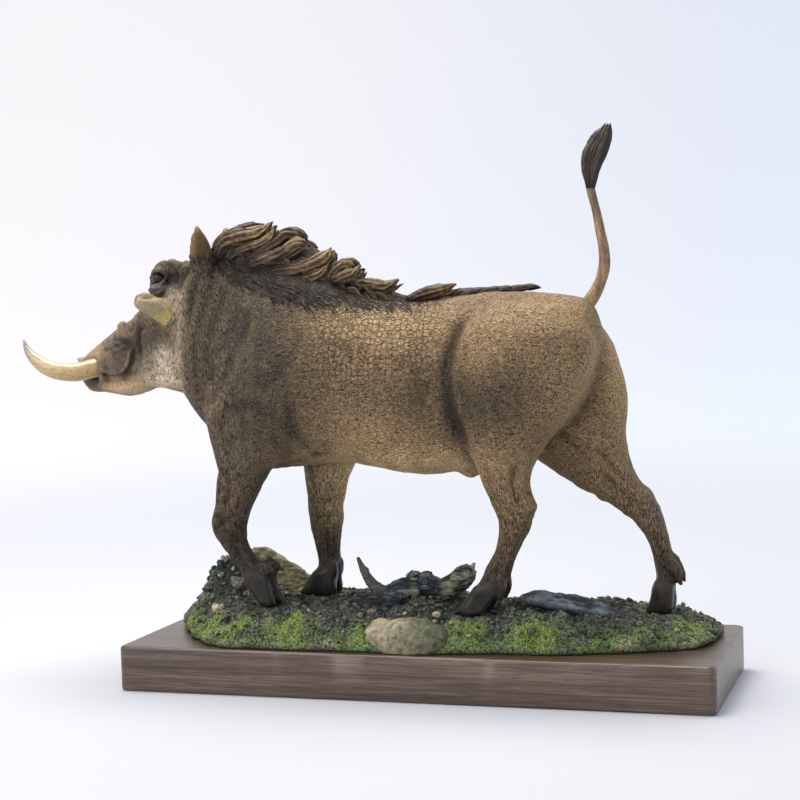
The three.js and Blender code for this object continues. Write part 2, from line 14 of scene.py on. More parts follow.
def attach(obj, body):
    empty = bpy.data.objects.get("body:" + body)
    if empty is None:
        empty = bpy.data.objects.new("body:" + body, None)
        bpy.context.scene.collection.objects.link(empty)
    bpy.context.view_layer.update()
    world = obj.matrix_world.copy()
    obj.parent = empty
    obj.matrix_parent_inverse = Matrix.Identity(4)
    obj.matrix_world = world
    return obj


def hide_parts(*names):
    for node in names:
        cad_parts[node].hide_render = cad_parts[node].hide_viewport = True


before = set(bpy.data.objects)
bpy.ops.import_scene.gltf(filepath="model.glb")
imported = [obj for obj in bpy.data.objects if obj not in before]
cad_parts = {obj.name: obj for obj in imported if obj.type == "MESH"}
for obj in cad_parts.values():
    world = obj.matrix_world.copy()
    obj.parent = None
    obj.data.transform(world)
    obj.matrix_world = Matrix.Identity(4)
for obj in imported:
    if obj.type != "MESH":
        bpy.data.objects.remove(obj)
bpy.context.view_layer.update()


# ---- Camera, lamps and table -------------------------------------------------------------------------
# The camera stands level with the animal's back and is turned a little towards its head. A large soft
# lamp hangs overhead to the left, a weaker one stands in front, and the pale table curves up all round.
def viewpoint(place, yaw, pitch, roll):
    """Matrix of a view from a place, turned left by yaw, down by pitch and about its own line by roll."""
    right = Vector((math.cos(yaw), math.sin(yaw), 0))
    ahead = Vector((-math.sin(yaw) * math.cos(pitch), math.cos(yaw) * math.cos(pitch), -math.sin(pitch)))
    up = right.cross(ahead)
    level = math.cos(roll) * right + math.sin(roll) * up
    top = math.cos(roll) * up - math.sin(roll) * right
    matrix = Matrix((level, top, -ahead)).transposed().to_4x4()
    matrix.translation = place
    return matrix


camera_data = bpy.data.cameras.new("camera")
camera_data.lens = 81.745
camera_data.sensor_width = 36
camera_data.clip_start = 0.02
camera = bpy.data.objects.new("camera", camera_data)
camera.matrix_world = viewpoint(
    Vector((0.219884, -0.728387, 0.166132)), math.radians(17.6267), math.radians(3.5351), math.radians(-1.6511)
)
bpy.context.scene.collection.objects.link(camera)
bpy.context.scene.camera = camera


def lamp(name, place, size, power, tint=(1, 1, 1)):
    """A square area lamp at a place, aimed at the middle of the statuette."""
    light = bpy.data.lights.new(name, "AREA")
    light.size = size
    light.energy = power
    light.color = tint
    holder = bpy.data.objects.new(name, light)
    holder.location = place
    holder.rotation_euler = (Vector((0, 0, 0.09)) - Vector(place)).to_track_quat("-Z", "Y").to_euler()
    bpy.context.scene.collection.objects.link(holder)


lamp("overhead_lamp", (-0.20, 0.10, 0.95), 0.6, 13.0, (1, 0.98, 0.94))
lamp("front_lamp", (-0.55, -0.95, 0.75), 0.7, 6.0, (1, 0.97, 0.93))
lamp("back_lamp", (0.7, 0.75, 0.7), 0.6, 2.0, (0.93, 0.96, 1))

world = bpy.data.worlds.new("room")
bpy.context.scene.world = world
world.use_nodes = True
world.node_tree.nodes["Background"].inputs[0].default_value = (0.92, 0.95, 1, 1)
world.node_tree.nodes["Background"].inputs[1].default_value = 0.5
bpy.context.scene.view_settings.view_transform = "Standard"


def table_dish():
    """A disc whose rim curves up: radius and height follow a flat run and then a quarter of a circle."""
    turn = np.linspace(0, 2 * np.pi, 96, endpoint=False)
    bend = np.linspace(0, np.pi / 2, 12)
    radius = np.concatenate([[0.001, 0.4, 0.8], 1.0 + 0.9 * np.sin(bend)])
    height = np.concatenate([[0, 0, 0], 0.9 * (1 - np.cos(bend))])
    rings = np.stack([
        radius[:, None] * np.cos(turn), radius[:, None] * np.sin(turn), np.tile(height[:, None], (1, len(turn)))
    ], -1)
    index = np.arange(rings.shape[0] * rings.shape[1]).reshape(rings.shape[:2])
    quads = np.stack([index[:-1], index[1:], np.roll(index[1:], -1, 1), np.roll(index[:-1], -1, 1)], -1)
    mesh = bpy.data.meshes.new("table")
    mesh.from_pydata(rings.reshape(-1, 3).tolist(), [], quads.reshape(-1, 4).tolist())
    mesh.shade_smooth()
    return mesh


class Number:
    """A number socket of a paint. Its operators add Math nodes."""

    def __init__(self, paint, socket):
        self.paint = paint
        self.socket = socket

    def math(self, operation, first, second):
        return self.paint.node("ShaderNodeMath", {"operation": operation}, {0: first, 1: second})

    def __add__(self, other):
        return self.math("ADD", self, other)

    __radd__ = __add__

    def __sub__(self, other):
        return self.math("SUBTRACT", self, other)

    def __rsub__(self, other):
        return self.math("SUBTRACT", other, self)

    def __mul__(self, other):
        return self.math("MULTIPLY", self, other)

    __rmul__ = __mul__

    def rise(self, low, high):
        """Smooth step: 0 below low, 1 above high."""
        return self.paint.node("ShaderNodeMapRange", {"interpolation_type": "SMOOTHSTEP"}, {0: self, 1: low, 2: high})


class Paint:
    """A finish made of shader nodes. Constants go on the shader itself, patterns go through node()."""

    def __init__(self, name, roughness=0.6, **constants):
        self.material = bpy.data.materials.new(name)
        self.material.use_nodes = True
        self.tree = self.material.node_tree
        self.shader = self.tree.nodes["Principled BSDF"]
        self.shader.inputs["Roughness"].default_value = roughness
        for socket, value in constants.items():
            self.shader.inputs[socket.replace("_", " ")].default_value = value

    def put(self, socket, value):
        if isinstance(value, Number):
            self.tree.links.new(value.socket, socket)
        elif isinstance(value, tuple) and len(value) == 3 and socket.type == "RGBA":
            socket.default_value = (*value, 1)
        else:
            socket.default_value = value

    def node(self, kind, settings=None, sockets=None, output=0):
        """Any node: its settings first, a ramp's stops among them, then the values or links of its sockets."""
        node = self.tree.nodes.new(kind)
        for key, value in (settings or {}).items():
            if key == "stops":
                while len(node.color_ramp.elements) < len(value):
                    node.color_ramp.elements.new(0.5)
                for element, (place, colour) in zip(node.color_ramp.elements, value):
                    element.position = place
                    element.color = (*colour, 1)
            else:
                setattr(node, key, value)
        for key, value in (sockets or {}).items():
            self.put(node.inputs[key], value)
        return Number(self, node.outputs[output])

    def place(self, stretch=(1, 1, 1)):
        """The point on the piece in millimetres, with each axis multiplied by its own stretch."""
        point = self.node("ShaderNodeTexCoord", output=3)
        factor = tuple(1000.0 * share for share in stretch)
        return self.node("ShaderNodeVectorMath", {"operation": "MULTIPLY"}, {0: point, 1: factor})

    def noise(self, size, stretch=(1, 1, 1), detail=2.0, roughness=0.5, distortion=0.0):
        """Soft noise whose spots are about size millimetres wide."""
        return self.node("ShaderNodeTexNoise", None, {
            "Vector": self.place(stretch), "Scale": 1 / size, "Detail": detail, "Roughness": roughness,
            "Distortion": distortion,
        })

    def cells(self, size, stretch=(1, 1, 1), feature="DISTANCE_TO_EDGE", jitter=1.0):
        """Cells about size millimetres wide: the distance to their edge, or another feature of them."""
        return self.node("ShaderNodeTexVoronoi", {"feature": feature}, {
            "Vector": self.place(stretch), "Scale": 1 / size, "Randomness": jitter,
        })

    def ramp(self, factor, stops):
        return self.node("ShaderNodeValToRGB", {"stops": stops}, {0: factor})

    def blend(self, factor, first, second, mode="MIX"):
        """Colours first and second mixed by a factor."""
        settings = {"data_type": "RGBA", "blend_type": mode}
        return self.node("ShaderNodeMix", settings, {0: factor, 6: first, 7: second}, 2)

    def brushed(self, name, output=0):
        """A colour painted on the points of the mesh, or with output 1 the same as a vector."""
        return self.node("ShaderNodeAttribute", {"attribute_name": name}, output=output)

    def drybrush(self, share, pattern, stops):
        """The colours painted on the mesh, lightened and darkened in a share by the ramp of a pattern."""
        return self.blend(share, self.brushed("paint"), self.ramp(pattern, stops), "OVERLAY")

    def finish(self, colour, roughness=None, height=None, depth=0.3, strength=0.8):
        """Links the patterns to the shader: colour, roughness, and a height in shares of depth millimetres."""
        self.put(self.shader.inputs["Base Color"], colour)
        if roughness is not None:
            self.put(self.shader.inputs["Roughness"], roughness)
        if height is not None:
            bump = self.node("ShaderNodeBump", None, {"Strength": strength, "Distance": depth / 1000, "Height": height})
            self.put(self.shader.inputs["Normal"], bump)
        return self.material


table_mesh = table_dish()
table = bpy.data.objects.new("table", table_mesh)
bpy.context.scene.collection.objects.link(table)
table_paint = Paint("table_white", 0.9, Emission_Strength=1.0)
spot = table_paint.place()
away = table_paint.node("ShaderNodeVectorMath", {"operation": "LENGTH"}, {0: spot}, 1)
across = table_paint.node("ShaderNodeSeparateXYZ", None, {0: spot})
far_glow = table_paint.blend(across.rise(-1000.0, 50.0), (0.60, 0.56, 0.56), (0.42, 0.454, 0.517))
glow = table_paint.blend(away.rise(300.0, 1250.0), (0.060, 0.058, 0.080), far_glow)
table_paint.put(table_paint.shader.inputs["Emission Color"], glow)
table_mesh.materials.append(table_paint.finish((0.455, 0.465, 0.49)))


# ---- Plinth --------------------------------------------------------------------------------------------
# A solid block of wood, sawn along the grain, with its edges eased by sandpaper, stained dark walnut and
# waxed. The ground is glued on it. The stain sits darker in the pores and is worn paler on the edges.
plinth_length, plinth_width, plinth_height = 250.0, 88.0, 19.0
plinth_edge = 1.2
plinth_corner = 2.6


def rough(points, size, seed):
    """Value noise from -1 to 1: random heights on a lattice of that size, blended smoothly in between."""
    lattice = np.random.default_rng(seed).uniform(-1, 1, (32, 32, 32))
    cell = points / size
    low = np.floor(cell).astype(int)
    share = cell - low
    share = share * share * (3 - 2 * share)
    total = np.zeros(len(points))
    for corner in np.ndindex(2, 2, 2):
        weight = np.prod(np.where(corner, share, 1 - share), axis=1)
        total += weight * lattice[tuple(((low + corner) % 32).T)]
    return total


def tube(rings):
    """A closed skin over rings of points: quads between neighbours and a cap at each end, facing outwards."""
    count, sides = rings.shape[:2]
    index = np.arange(count * sides).reshape(count, sides)
    quads = np.stack(
        [index[:-1], np.roll(index[:-1], -1, 1), np.roll(index[1:], -1, 1), index[1:]], -1
    ).reshape(-1, 4)
    points = rings.reshape(-1, 3)
    arm = points - points.mean(0)
    volume = np.einsum("ij,ij->i", arm[quads[:, 0]], np.cross(arm[quads[:, 1]], arm[quads[:, 2]])).sum()
    faces = quads.tolist() + [index[0][::-1].tolist(), index[-1].tolist()]
    return points, [face[::-1] for face in faces] if volume < 0 else faces


def gather(parts):
    """Several skins as one: a list of points and one of faces, and one of colours if the skins have them."""
    start = np.cumsum([0] + [len(part[0]) for part in parts])
    faces = [[i + shift for i in face] for part, shift in zip(parts, start.tolist()) for face in part[1]]
    points, _, *colours = zip(*parts)
    return np.vstack(points), faces, *[np.vstack(layer) for layer in colours]


def piece_of(name, points, faces, material, slot, *nodes, colours=None, marks=None, sheen=None):
    """A piece in metres from points in millimetres, with its finish and the nodes it stands for. Its slot is not used.
    Colours are painted on its points, and marks and sheen are further shares that its finish may use."""
    mesh = bpy.data.meshes.new(name)
    mesh.from_pydata((points / 1000).tolist(), [], faces)
    mesh.shade_smooth()
    for layer_name, values in (("paint", colours), ("marks", marks), ("sheen", sheen)):
        if values is not None:
            layer = mesh.color_attributes.new(layer_name, "FLOAT_COLOR", "POINT")
            layer.data.foreach_set("color", np.column_stack([values, np.ones(len(values))]).ravel())
    mesh.materials.append(material)
    piece = bpy.data.objects.new(name, mesh)
    bpy.context.scene.collection.objects.link(piece)
    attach(piece, "root")
    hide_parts(*nodes)
    return piece


def plinth_block():
    """Rings of a rounded rectangle, each drawn in and lifted round the eased edges, with slight dents."""
    corner = np.linspace(0, np.pi / 2, 7)
    rim = []
    for quarter, (sx, sy) in enumerate([(1, 1), (-1, 1), (-1, -1), (1, -1)]):
        angle = corner + quarter * np.pi / 2
        start = np.array([
            sx * (plinth_length / 2 - plinth_corner), sy * (plinth_width / 2 - plinth_corner)
        ])
        rim.append(start + plinth_corner * np.column_stack([np.cos(angle), np.sin(angle)]))
    rim = np.vstack(rim)
    closed = np.vstack([rim, rim[:1]])
    length = np.concatenate([[0], np.cumsum(np.linalg.norm(np.diff(closed, axis=0), axis=1))])
    along = np.unique(np.concatenate([length[:-1], np.linspace(0, length[-1], 420, endpoint=False)]))
    outline = np.column_stack([np.interp(along, length, closed[:, i]) for i in range(2)])
    turn = np.linspace(0, np.pi / 2, 6)
    inset = np.concatenate([[6, 2.6], plinth_edge * (1 - np.sin(turn)), plinth_edge * (1 - np.cos(turn)), [2.6, 6]])
    level = np.concatenate([
        [0, 0], plinth_edge * (1 - np.cos(turn)), plinth_height - plinth_edge * (1 - np.sin(turn)),
        [plinth_height, plinth_height],
    ])
    half = np.array([plinth_length / 2, plinth_width / 2])
    rings = np.stack([
        np.column_stack([outline * (half - drawn) / half, np.full(len(outline), z)])
        for drawn, z in zip(inset, level)
    ])
    flat = rings.reshape(-1, 3)
    eased = np.repeat((inset < plinth_edge) & (inset > 0.01), len(outline))
    dents = np.maximum(0, rough(flat, 9, 1) - 0.35) * 0.5 + np.maximum(0, rough(flat, 3, 2) - 0.5) * 0.3
    centre = np.array([0, 0, plinth_height / 2])
    inwards = (centre - flat) * [0.1, 0.3, 1] / np.linalg.norm((centre - flat) * [0.1, 0.3, 1], axis=1)[:, None]
    flat += inwards * (dents * eased)[:, None]
    return tube(flat.reshape(rings.shape))


walnut = Paint("walnut_stain", 0.4, Coat_Roughness=0.34, Coat_Weight=0.45)
grain = walnut.noise(0.8, (0.020, 1, 1), 4.0, 0.65, 0.3)
bands = walnut.noise(4.5, (0.05, 1, 1.1), 2.0)
pores = walnut.noise(0.36, (0.03, 1, 1), 3.0, 0.7)
wood_tone = walnut.ramp(0.6 * grain + 0.4 * bands, [
    (0.36, (0.024, 0.014, 0.009)), (0.45, (0.064, 0.036, 0.022)), (0.53, (0.105, 0.061, 0.038)),
    (0.64, (0.180, 0.115, 0.075)),
])
wood_colour = walnut.blend(pores.rise(0.50, 0.36) * 0.7, wood_tone, (0.018, 0.011, 0.008))
piece_of(
    "plinth_wood", *plinth_block(),
    walnut.finish(wood_colour, 0.30 + 0.22 * grain, 0.6 * pores + 0.4 * grain, 0.22, 0.5), "stained_wood", "plinth",
)


# ---- Ground ---------------------------------------------------------------------------------------------
# One resin cast of a strip of bush floor: trodden soil that heaps up at the left end, painted dark grey
# brown, drybrushed grey, and glued on the plinth. Its rim rolls down to the wood. Moss tints its slopes.
stand = 33.0  # the level on which the hooves stand, over the table

# Each hoof: x, y, half length, half width and the height of its sole
feet = {
    "near_fore": (-66, -18.5, 5.5, 9, 0.8), "far_fore": (-56, 17, 10.5, 9, 0),
    "near_hind": (23, -19, 9.5, 9, 0), "far_hind": (93.7, 17, 8.5, 9, -4.2),
}

# Rises of the soil: x, y, reach along x and y, height
rises = np.array([
    [-94, 5, 9, 11, 15], [-104, 7, 9, 15, 13], [-90, 27, 9, 9, 6], [-4, -2, 16, 9, 4], [-30, 26, 20, 8, -2],
    [45, 28, 45, 16, -3], [100, 10, 18, 20, -4], [-90, -27, 9, 7, 4], [54, -30, 10, 6, 3], [104, 3, 8, 9, 2],
    [70, 29, 10, 6, -1], [-28, 30, 9, 6, 3],
])

# Patches of moss: x, y, reach along x and y
moss_patches = np.array([
    [-105, -14, 8, 8], [-91, -31, 10, 8], [-76, -36, 9, 7], [-50, -37, 11, 7], [-19, -40, 11, 5], [19, -39, 12, 6],
    [26, -33, 9, 5], [55, -33, 15, 7], [83, -31, 15, 8], [101, -22, 12, 9], [109, -2, 7, 10], [88, 33, 10, 6],
    [58, 38, 12, 5], [22, 37, 9, 5], [-14, 36, 10, 5], [-52, 38, 11, 5], [-84, 36, 9, 6], [-112, 14, 6, 9],
])

# The rim, in shares of its half length and half width
soil_outline = np.array([
    [1, 0.15], [1, 0.55], [0.93, 0.86], [0.75, 0.98], [0.4, 1], [0, 0.95], [-0.4, 1], [-0.76, 0.95], [-0.96, 0.74],
    [-1, 0.36], [-0.96, 0], [-0.9, -0.28], [-0.82, -0.64], [-0.7, -0.95], [-0.54, -1], [-0.37, -0.99],
    [-0.19, -0.96], [-0.02, -0.98], [0.16, -0.92], [0.32, -0.82], [0.48, -0.82], [0.65, -0.68], [0.81, -0.5],
    [0.95, -0.27],
]) * [119.0, 41.8]


def through(points, shares, closed=False):
    """Smooth curve through points: each span is the cubic that passes its ends with the slope of the chord
    between their neighbours."""
    points = np.asarray(points, float)
    if closed:
        points = np.vstack([points[-1:], points, points[:2]])
    else:
        points = np.vstack([2 * points[0] - points[1], points, 2 * points[-1] - points[-2]])
    spans = len(points) - 3
    span = np.minimum((shares * spans).astype(int), spans - 1)
    u = (shares * spans - span)[:, None]
    before, start, end, after = (points[span + i] for i in range(4))
    return start + 0.5 * u * (
        end - before + u * (2 * before - 5 * start + 4 * end - after + u * (3 * (start - end) + after - before))
    )


def held(value):
    """The value held between 0 and 1, as in every mask."""
    return np.clip(value, 0.0, 1.0)


def soil_level(x, y, share):
    """Height over the plinth: a flat field with bell-shaped rises, which falls off towards its rim, is level
    under each hoof, and carries lumps and crumbs of noise."""
    rim = np.maximum(0, (share - 0.62) / 0.38)
    level = 1 - 0.8 * rim ** 2.6
    middle_x, middle_y, wide_x, wide_y, high = rises.T[..., None]
    height = (high * np.exp(-((x - middle_x) / wide_x) ** 2 - ((y - middle_y) / wide_y) ** 2)).sum(0)
    height += 0.7 * np.sin(x * 0.55 + y * 0.31) + 0.6 * np.sin(y * 0.62 - x * 0.23)
    spot = np.column_stack([x, y, np.zeros(len(x))])
    lumps = 1.3 * rough(spot, 6, 3) + 0.8 * np.abs(rough(spot, 2.6, 4)) + 0.4 * rough(spot, 1.3, 5)
    total = level * (14 + height) + (level + 1.2 * rim * level) * lumps
    for foot_x, foot_y, length, width, sole in feet.values():
        apart = np.hypot((x - foot_x) / (length + 4), (y - foot_y) / (width + 4))
        inside = held((1.25 - apart) / 0.35)
        total = total + inside * (np.minimum(total, 13.8 + sole) - total)
    return total


def moss_share(x, y):
    """How mossy a spot is, from 0 to about 1: the strongest of the patches' bell curves, broken up by noise."""
    middle_x, middle_y, wide_x, wide_y = moss_patches.T[..., None]
    whole = np.exp(-((x - middle_x) / wide_x) ** 2 - ((y - middle_y) / wide_y) ** 2).max(0)
    spot = np.column_stack([x, y, np.zeros(len(x))])
    return whole * np.clip(1.0 + 0.75 * rough(spot, 3.6, 9) + 0.3 * rough(spot, 1.5, 10), 0, 1.15)


def soil_skin():
    """Rings of the outline drawn in towards the middle, each at the soil's level, closed below."""
    turn = np.linspace(0, 1, 380, endpoint=False)
    rim = through(soil_outline, turn, closed=True)
    shares = np.concatenate([[0.985, 0.997], 1 - np.linspace(0, 0.985, 92) ** 1.1])
    x = shares[:, None] * rim[:, 0]
    y = shares[:, None] * rim[:, 1]
    height = soil_level(x.ravel(), y.ravel(), np.repeat(shares, len(turn))).reshape(x.shape)
    height[0] = 0
    height[1] *= 0.4
    spots = np.column_stack([x.ravel(), y.ravel(), height.ravel()])
    ripple = 0.010 * rough(spots, 7, 6) + 0.010 * rough(spots, 3, 26) + 0.005 * rough(spots, 1.4, 27)
    fold = 1 + ripple.reshape(x.shape) * held((shares[:, None] - 0.82) / 0.14)
    return np.stack([x * fold, y * fold, plinth_height + height], -1)


def tint(colour, other, mask):
    """Colours moved towards another one by a mask, as an airbrush does."""
    return colour + (np.asarray(other) - colour) * mask[:, None]


def washed(points, base, *layers):
    """A base colour on every point, then the layers one over another: each is a colour and its mask."""
    colours = np.zeros((len(points), 3)) + base
    for colour, mask in layers:
        colours = tint(colours, colour, mask)
    return colours


soil_points, soil_faces = tube(soil_skin())
mossy = moss_share(soil_points[:, 0], soil_points[:, 1])
slope = held((31 - soil_points[:, 2]) / 8)
soil_colour = washed(
    soil_points, [0.036, 0.040, 0.034],
    ([0.120, 0.112, 0.080], 0.7 * held(0.5 + 0.9 * rough(soil_points, 11, 7))),
    ([0.100, 0.122, 0.066], 0.85 * slope * held(0.7 + rough(soil_points, 5, 8))),
    ([0.300, 0.265, 0.180], slope * np.clip(1.6 * rough(soil_points, 6, 28) - 0.35, 0, 0.9)),
    ([0.120, 0.170, 0.058], held(mossy * 1.5 - 0.1)),
    ([0.012, 0.011, 0.009], held((20.3 - soil_points[:, 2]) / 1.2)),
)

earth = Paint("painted_earth", 0.95)
crumb = earth.noise(1.1, detail=5.0, roughness=0.7)
grit = earth.cells(0.9, feature="F1")
earth_colour = earth.drybrush(0.95, crumb, [
    (0.38, (0.06, 0.06, 0.06)), (0.50, (0.54, 0.54, 0.54)), (0.60, (1.0, 0.97, 0.9)),
])
earth_paint = earth.finish(earth_colour, None, 0.6 * crumb + 0.4 * grit, 0.9, 0.9)
piece_of("ground_soil", soil_points, soil_faces, earth_paint, "painted_ground", "ground", colours=soil_colour)


# Crumbs and clods: thousands of small broken lumps of soil in the same resin cast, painted with it. The
# crumbs lie between the moss patches, the clods all over, and they heap up at the left end.
def scatter(count, seed, reach=0.97):
    """Random spots on the soil up to a share of the way to its rim: x, y, height, and the generator."""
    random = np.random.default_rng(seed)
    share = reach * np.sqrt(random.uniform(0, 1, count))
    rim = through(soil_outline, random.uniform(0, 1, count), closed=True)
    x, y = (rim * share[:, None]).T
    return x, y, plinth_height + soil_level(x, y, share), random


def ball(segments, rings):
    """A unit ball: rings of latitude between two poles, with triangles at the poles."""
    polar = np.pi * (np.arange(rings) + 1) / (rings + 1)
    turn = 2 * np.pi * np.arange(segments) / segments
    body = np.stack([
        np.outer(np.sin(polar), np.cos(turn)), np.outer(np.sin(polar), np.sin(turn)),
        np.tile(np.cos(polar)[:, None], (1, segments)),
    ], -1).reshape(-1, 3)
    index = np.arange(rings * segments).reshape(rings, segments)
    after = np.roll(index, -1, 1)
    top, low = rings * segments, rings * segments + 1
    quads = np.stack([index[:-1], index[1:], after[1:], after[:-1]], -1).reshape(-1, 4)
    caps = [[top, a, b] for a, b in zip(index[0], after[0])] + [[low, b, a] for a, b in zip(index[-1], after[-1])]
    return np.vstack([body, [[0, 0, 1], [0, 0, -1]]]), quads.tolist() + [[int(i) for i in cap] for cap in caps]


def clods(middles, sizes, colours, segments, rings, seed):
    """A copy of a rough ball at each middle, stretched and turned at random. All are computed at once."""
    unit, faces = ball(segments, rings)
    random = np.random.default_rng(seed)
    count = len(middles)
    shapes = unit * random.uniform(0.72, 1.25, (count, len(unit), 1)) * random.uniform(0.7, 1.2, (count, 1, 3))
    turn = random.uniform(0, 2 * np.pi, count)
    cosine, sine = np.cos(turn)[:, None], np.sin(turn)[:, None]
    turned = np.stack([
        shapes[..., 0] * cosine - shapes[..., 1] * sine, shapes[..., 0] * sine + shapes[..., 1] * cosine,
        shapes[..., 2] * 0.8,
    ], -1)
    points = (middles[:, None] + turned * sizes[:, None, None]).reshape(-1, 3)
    whole = [[i + len(unit) * k for i in face] for k in range(count) for face in faces]
    return points, whole, np.repeat(colours, len(unit), 0)


def hoof_room(x, y, margin):
    """Spots that are clear of every hoof by a margin."""
    clear = np.ones(len(x), bool)
    for foot_x, foot_y, length, width, _ in feet.values():
        clear &= np.hypot((x - foot_x) / (length + margin), (y - foot_y) / (width + margin)) > 1
    return clear


def soil_tones(count, random):
    """A colour for each clod: dark, brown, olive grey and a few pale ones."""
    palette = np.array([[0.022, 0.028, 0.027], [0.078, 0.075, 0.058], [0.092, 0.112, 0.090], [0.230, 0.210, 0.155]])
    return palette[random.choice(4, count, p=[0.32, 0.30, 0.34, 0.04])] * random.uniform(0.7, 1.5, (count, 1))


crumb_count = 6000
crumb_x, crumb_y, crumb_z, random = scatter(crumb_count, 11, 0.99)
crumb_size = 0.40 + 1.3 * random.uniform(0, 1, crumb_count) ** 3
kept = hoof_room(crumb_x, crumb_y, 1.5) & (moss_share(crumb_x, crumb_y) < random.uniform(0.2, 1.1, crumb_count))
crumb_tone = soil_tones(kept.sum(), random)
crumb_points, crumb_faces, crumb_colours = clods(
    np.column_stack([crumb_x, crumb_y, crumb_z + 0.1])[kept], crumb_size[kept], crumb_tone, 5, 1, 12
)
piece_of(
    "ground_crumbs", crumb_points, crumb_faces, earth_paint, "painted_ground", "ground", colours=crumb_colours
)

heap_count, spread_count, hump_count = 2600, 420, 90  # tried round the heap, tried all over, on the branch's hump
heap_x, heap_y, heap_z, heap = scatter(heap_count, 21, 0.93)
piled = np.exp(-((heap_x + 99) / 11) ** 2 - ((heap_y - 3) / 17) ** 2) > heap.uniform(0.15, 1.6, heap_count)
piled &= hoof_room(heap_x, heap_y, 4)
clod_x, clod_y, clod_z, random = scatter(spread_count, 22, 0.95)
apart = hoof_room(clod_x, clod_y, 4)
hump = heap.normal(0, 1, (hump_count, 2)) * [5.2, 3.2]
clod_middles = np.vstack([
    np.column_stack([heap_x, heap_y, heap_z + 0.3])[piled], np.column_stack([clod_x, clod_y, clod_z - 0.2])[apart],
    np.column_stack([hump - [4, 4], stand + 13.4 - 0.05 * hump[:, 0] ** 2 - 0.13 * hump[:, 1] ** 2]),
])
clod_sizes = np.concatenate([
    1.3 + 2.7 * heap.uniform(0, 1, piled.sum()) ** 2, 0.9 + 1.4 * random.uniform(0, 1, apart.sum()) ** 2,
    0.7 + 1.1 * heap.uniform(0, 1, hump_count) ** 2,
])
clod_tone = soil_tones(len(clod_middles), heap) * np.where(clod_middles[:, :1] < -80, 1.5, 1.0)
clod_tone[-hump_count:] = clod_tone[-hump_count:] * 1.5 + [0.020, 0.026, 0.034]
clod_tone = tint(clod_tone, [0.060, 0.080, 0.036], held(0.8 * moss_share(*clod_middles[:, :2].T)))
clod_points, clod_faces, clod_colours = clods(clod_middles, clod_sizes, clod_tone, 8, 4, 23)
clod_points += 0.45 * rough(clod_points, 0.9, 24)[:, None] * rough(clod_points, 2.0, 25)[:, None]
piece_of("ground_clods", clod_points, clod_faces, earth_paint, "painted_ground", "ground", colours=clod_colours)


# Moss: short green flock, sifted on in patches over glue, yellow-green in the middle of a patch and dark
# at its rim. It also clings to the slopes of the cast.
def flock(count, seed):
    """Slim three-sided spikes on the soil where moss_share is high, each leaning at random."""
    x, y, z, random = scatter(count, seed, 0.995)
    share = moss_share(x, y)
    slope = held((30 - z) / 6)
    kept = (share + 0.42 * slope > random.uniform(0.25, 0.95, count)) & hoof_room(x, y, 1)
    x, y, z, share = x[kept], y[kept], z[kept], share[kept]
    count = len(x)
    foot = np.column_stack([x, y, z - 0.25])
    turn = random.uniform(0, 2 * np.pi, (count, 1)) + np.array([0, 2.1, 4.2])
    wide = random.uniform(0.16, 0.34, (count, 1))
    base = foot[:, None] + np.stack([wide * np.cos(turn), wide * np.sin(turn), np.zeros((count, 3))], -1)
    tip = foot + np.column_stack([
        random.normal(0, 0.5, count), random.normal(0, 0.5, count),
        random.uniform(0.4, 0.9, count) + 0.9 * share * random.uniform(0, 1, count),
    ])
    points = np.concatenate([base, tip[:, None]], 1).reshape(-1, 3)
    start = 4 * np.arange(count)[:, None, None]
    faces = (start + np.array([[0, 2, 1], [0, 1, 3], [1, 2, 3], [2, 0, 3]])).reshape(-1, 3)
    bright = held((share - 0.3) / 0.5) * random.uniform(0.3, 1.2, count)
    colour = washed(foot, [0.092, 0.135, 0.052], ([0.400, 0.530, 0.090], held(bright)))
    colour *= random.uniform(0.5, 1.4, (count, 1))
    shades = np.repeat(colour, 4, 0)
    shades[0::4] *= 0.6
    return points, faces.tolist(), shades


moss_points, moss_faces, moss_colours = flock(52000, 31)
moss = Paint("moss_flock", 0.95)
moss_paint = moss.finish(moss.brushed("paint"), None, moss.noise(0.3), 0.1, 0.5)
piece_of("ground_moss", moss_points, moss_faces, moss_paint, "painted_ground", "ground", colours=moss_colours)


# Stones and the leaning slab: parts of the same cast, half sunk in its soil, painted pale grey tan and
# olive, with pitted faces.
def boulder(middle, radii, turn, seed, segments=44):
    """A ball stretched to its radii and turned, with lumps, flats and pits of noise on it."""
    unit, faces = ball(segments, segments // 2)
    shape = unit / np.maximum(1, (np.abs(unit) ** 3).sum(1, keepdims=True) ** (1 / 3))
    shape = np.sign(unit) * np.abs(shape) ** 0.85
    points = shape * radii
    points = points + unit * (
        0.9 * rough(points, 6, seed) + 0.45 * rough(points, 2.5, seed + 1) + 0.2 * rough(points, 1.2, seed + 2)
    )[:, None]
    cosine, sine = math.cos(turn), math.sin(turn)
    points = points @ np.array([[cosine, sine, 0], [-sine, cosine, 0], [0, 0, 1]])
    return points + np.asarray(middle) + [0, 0, stand], faces


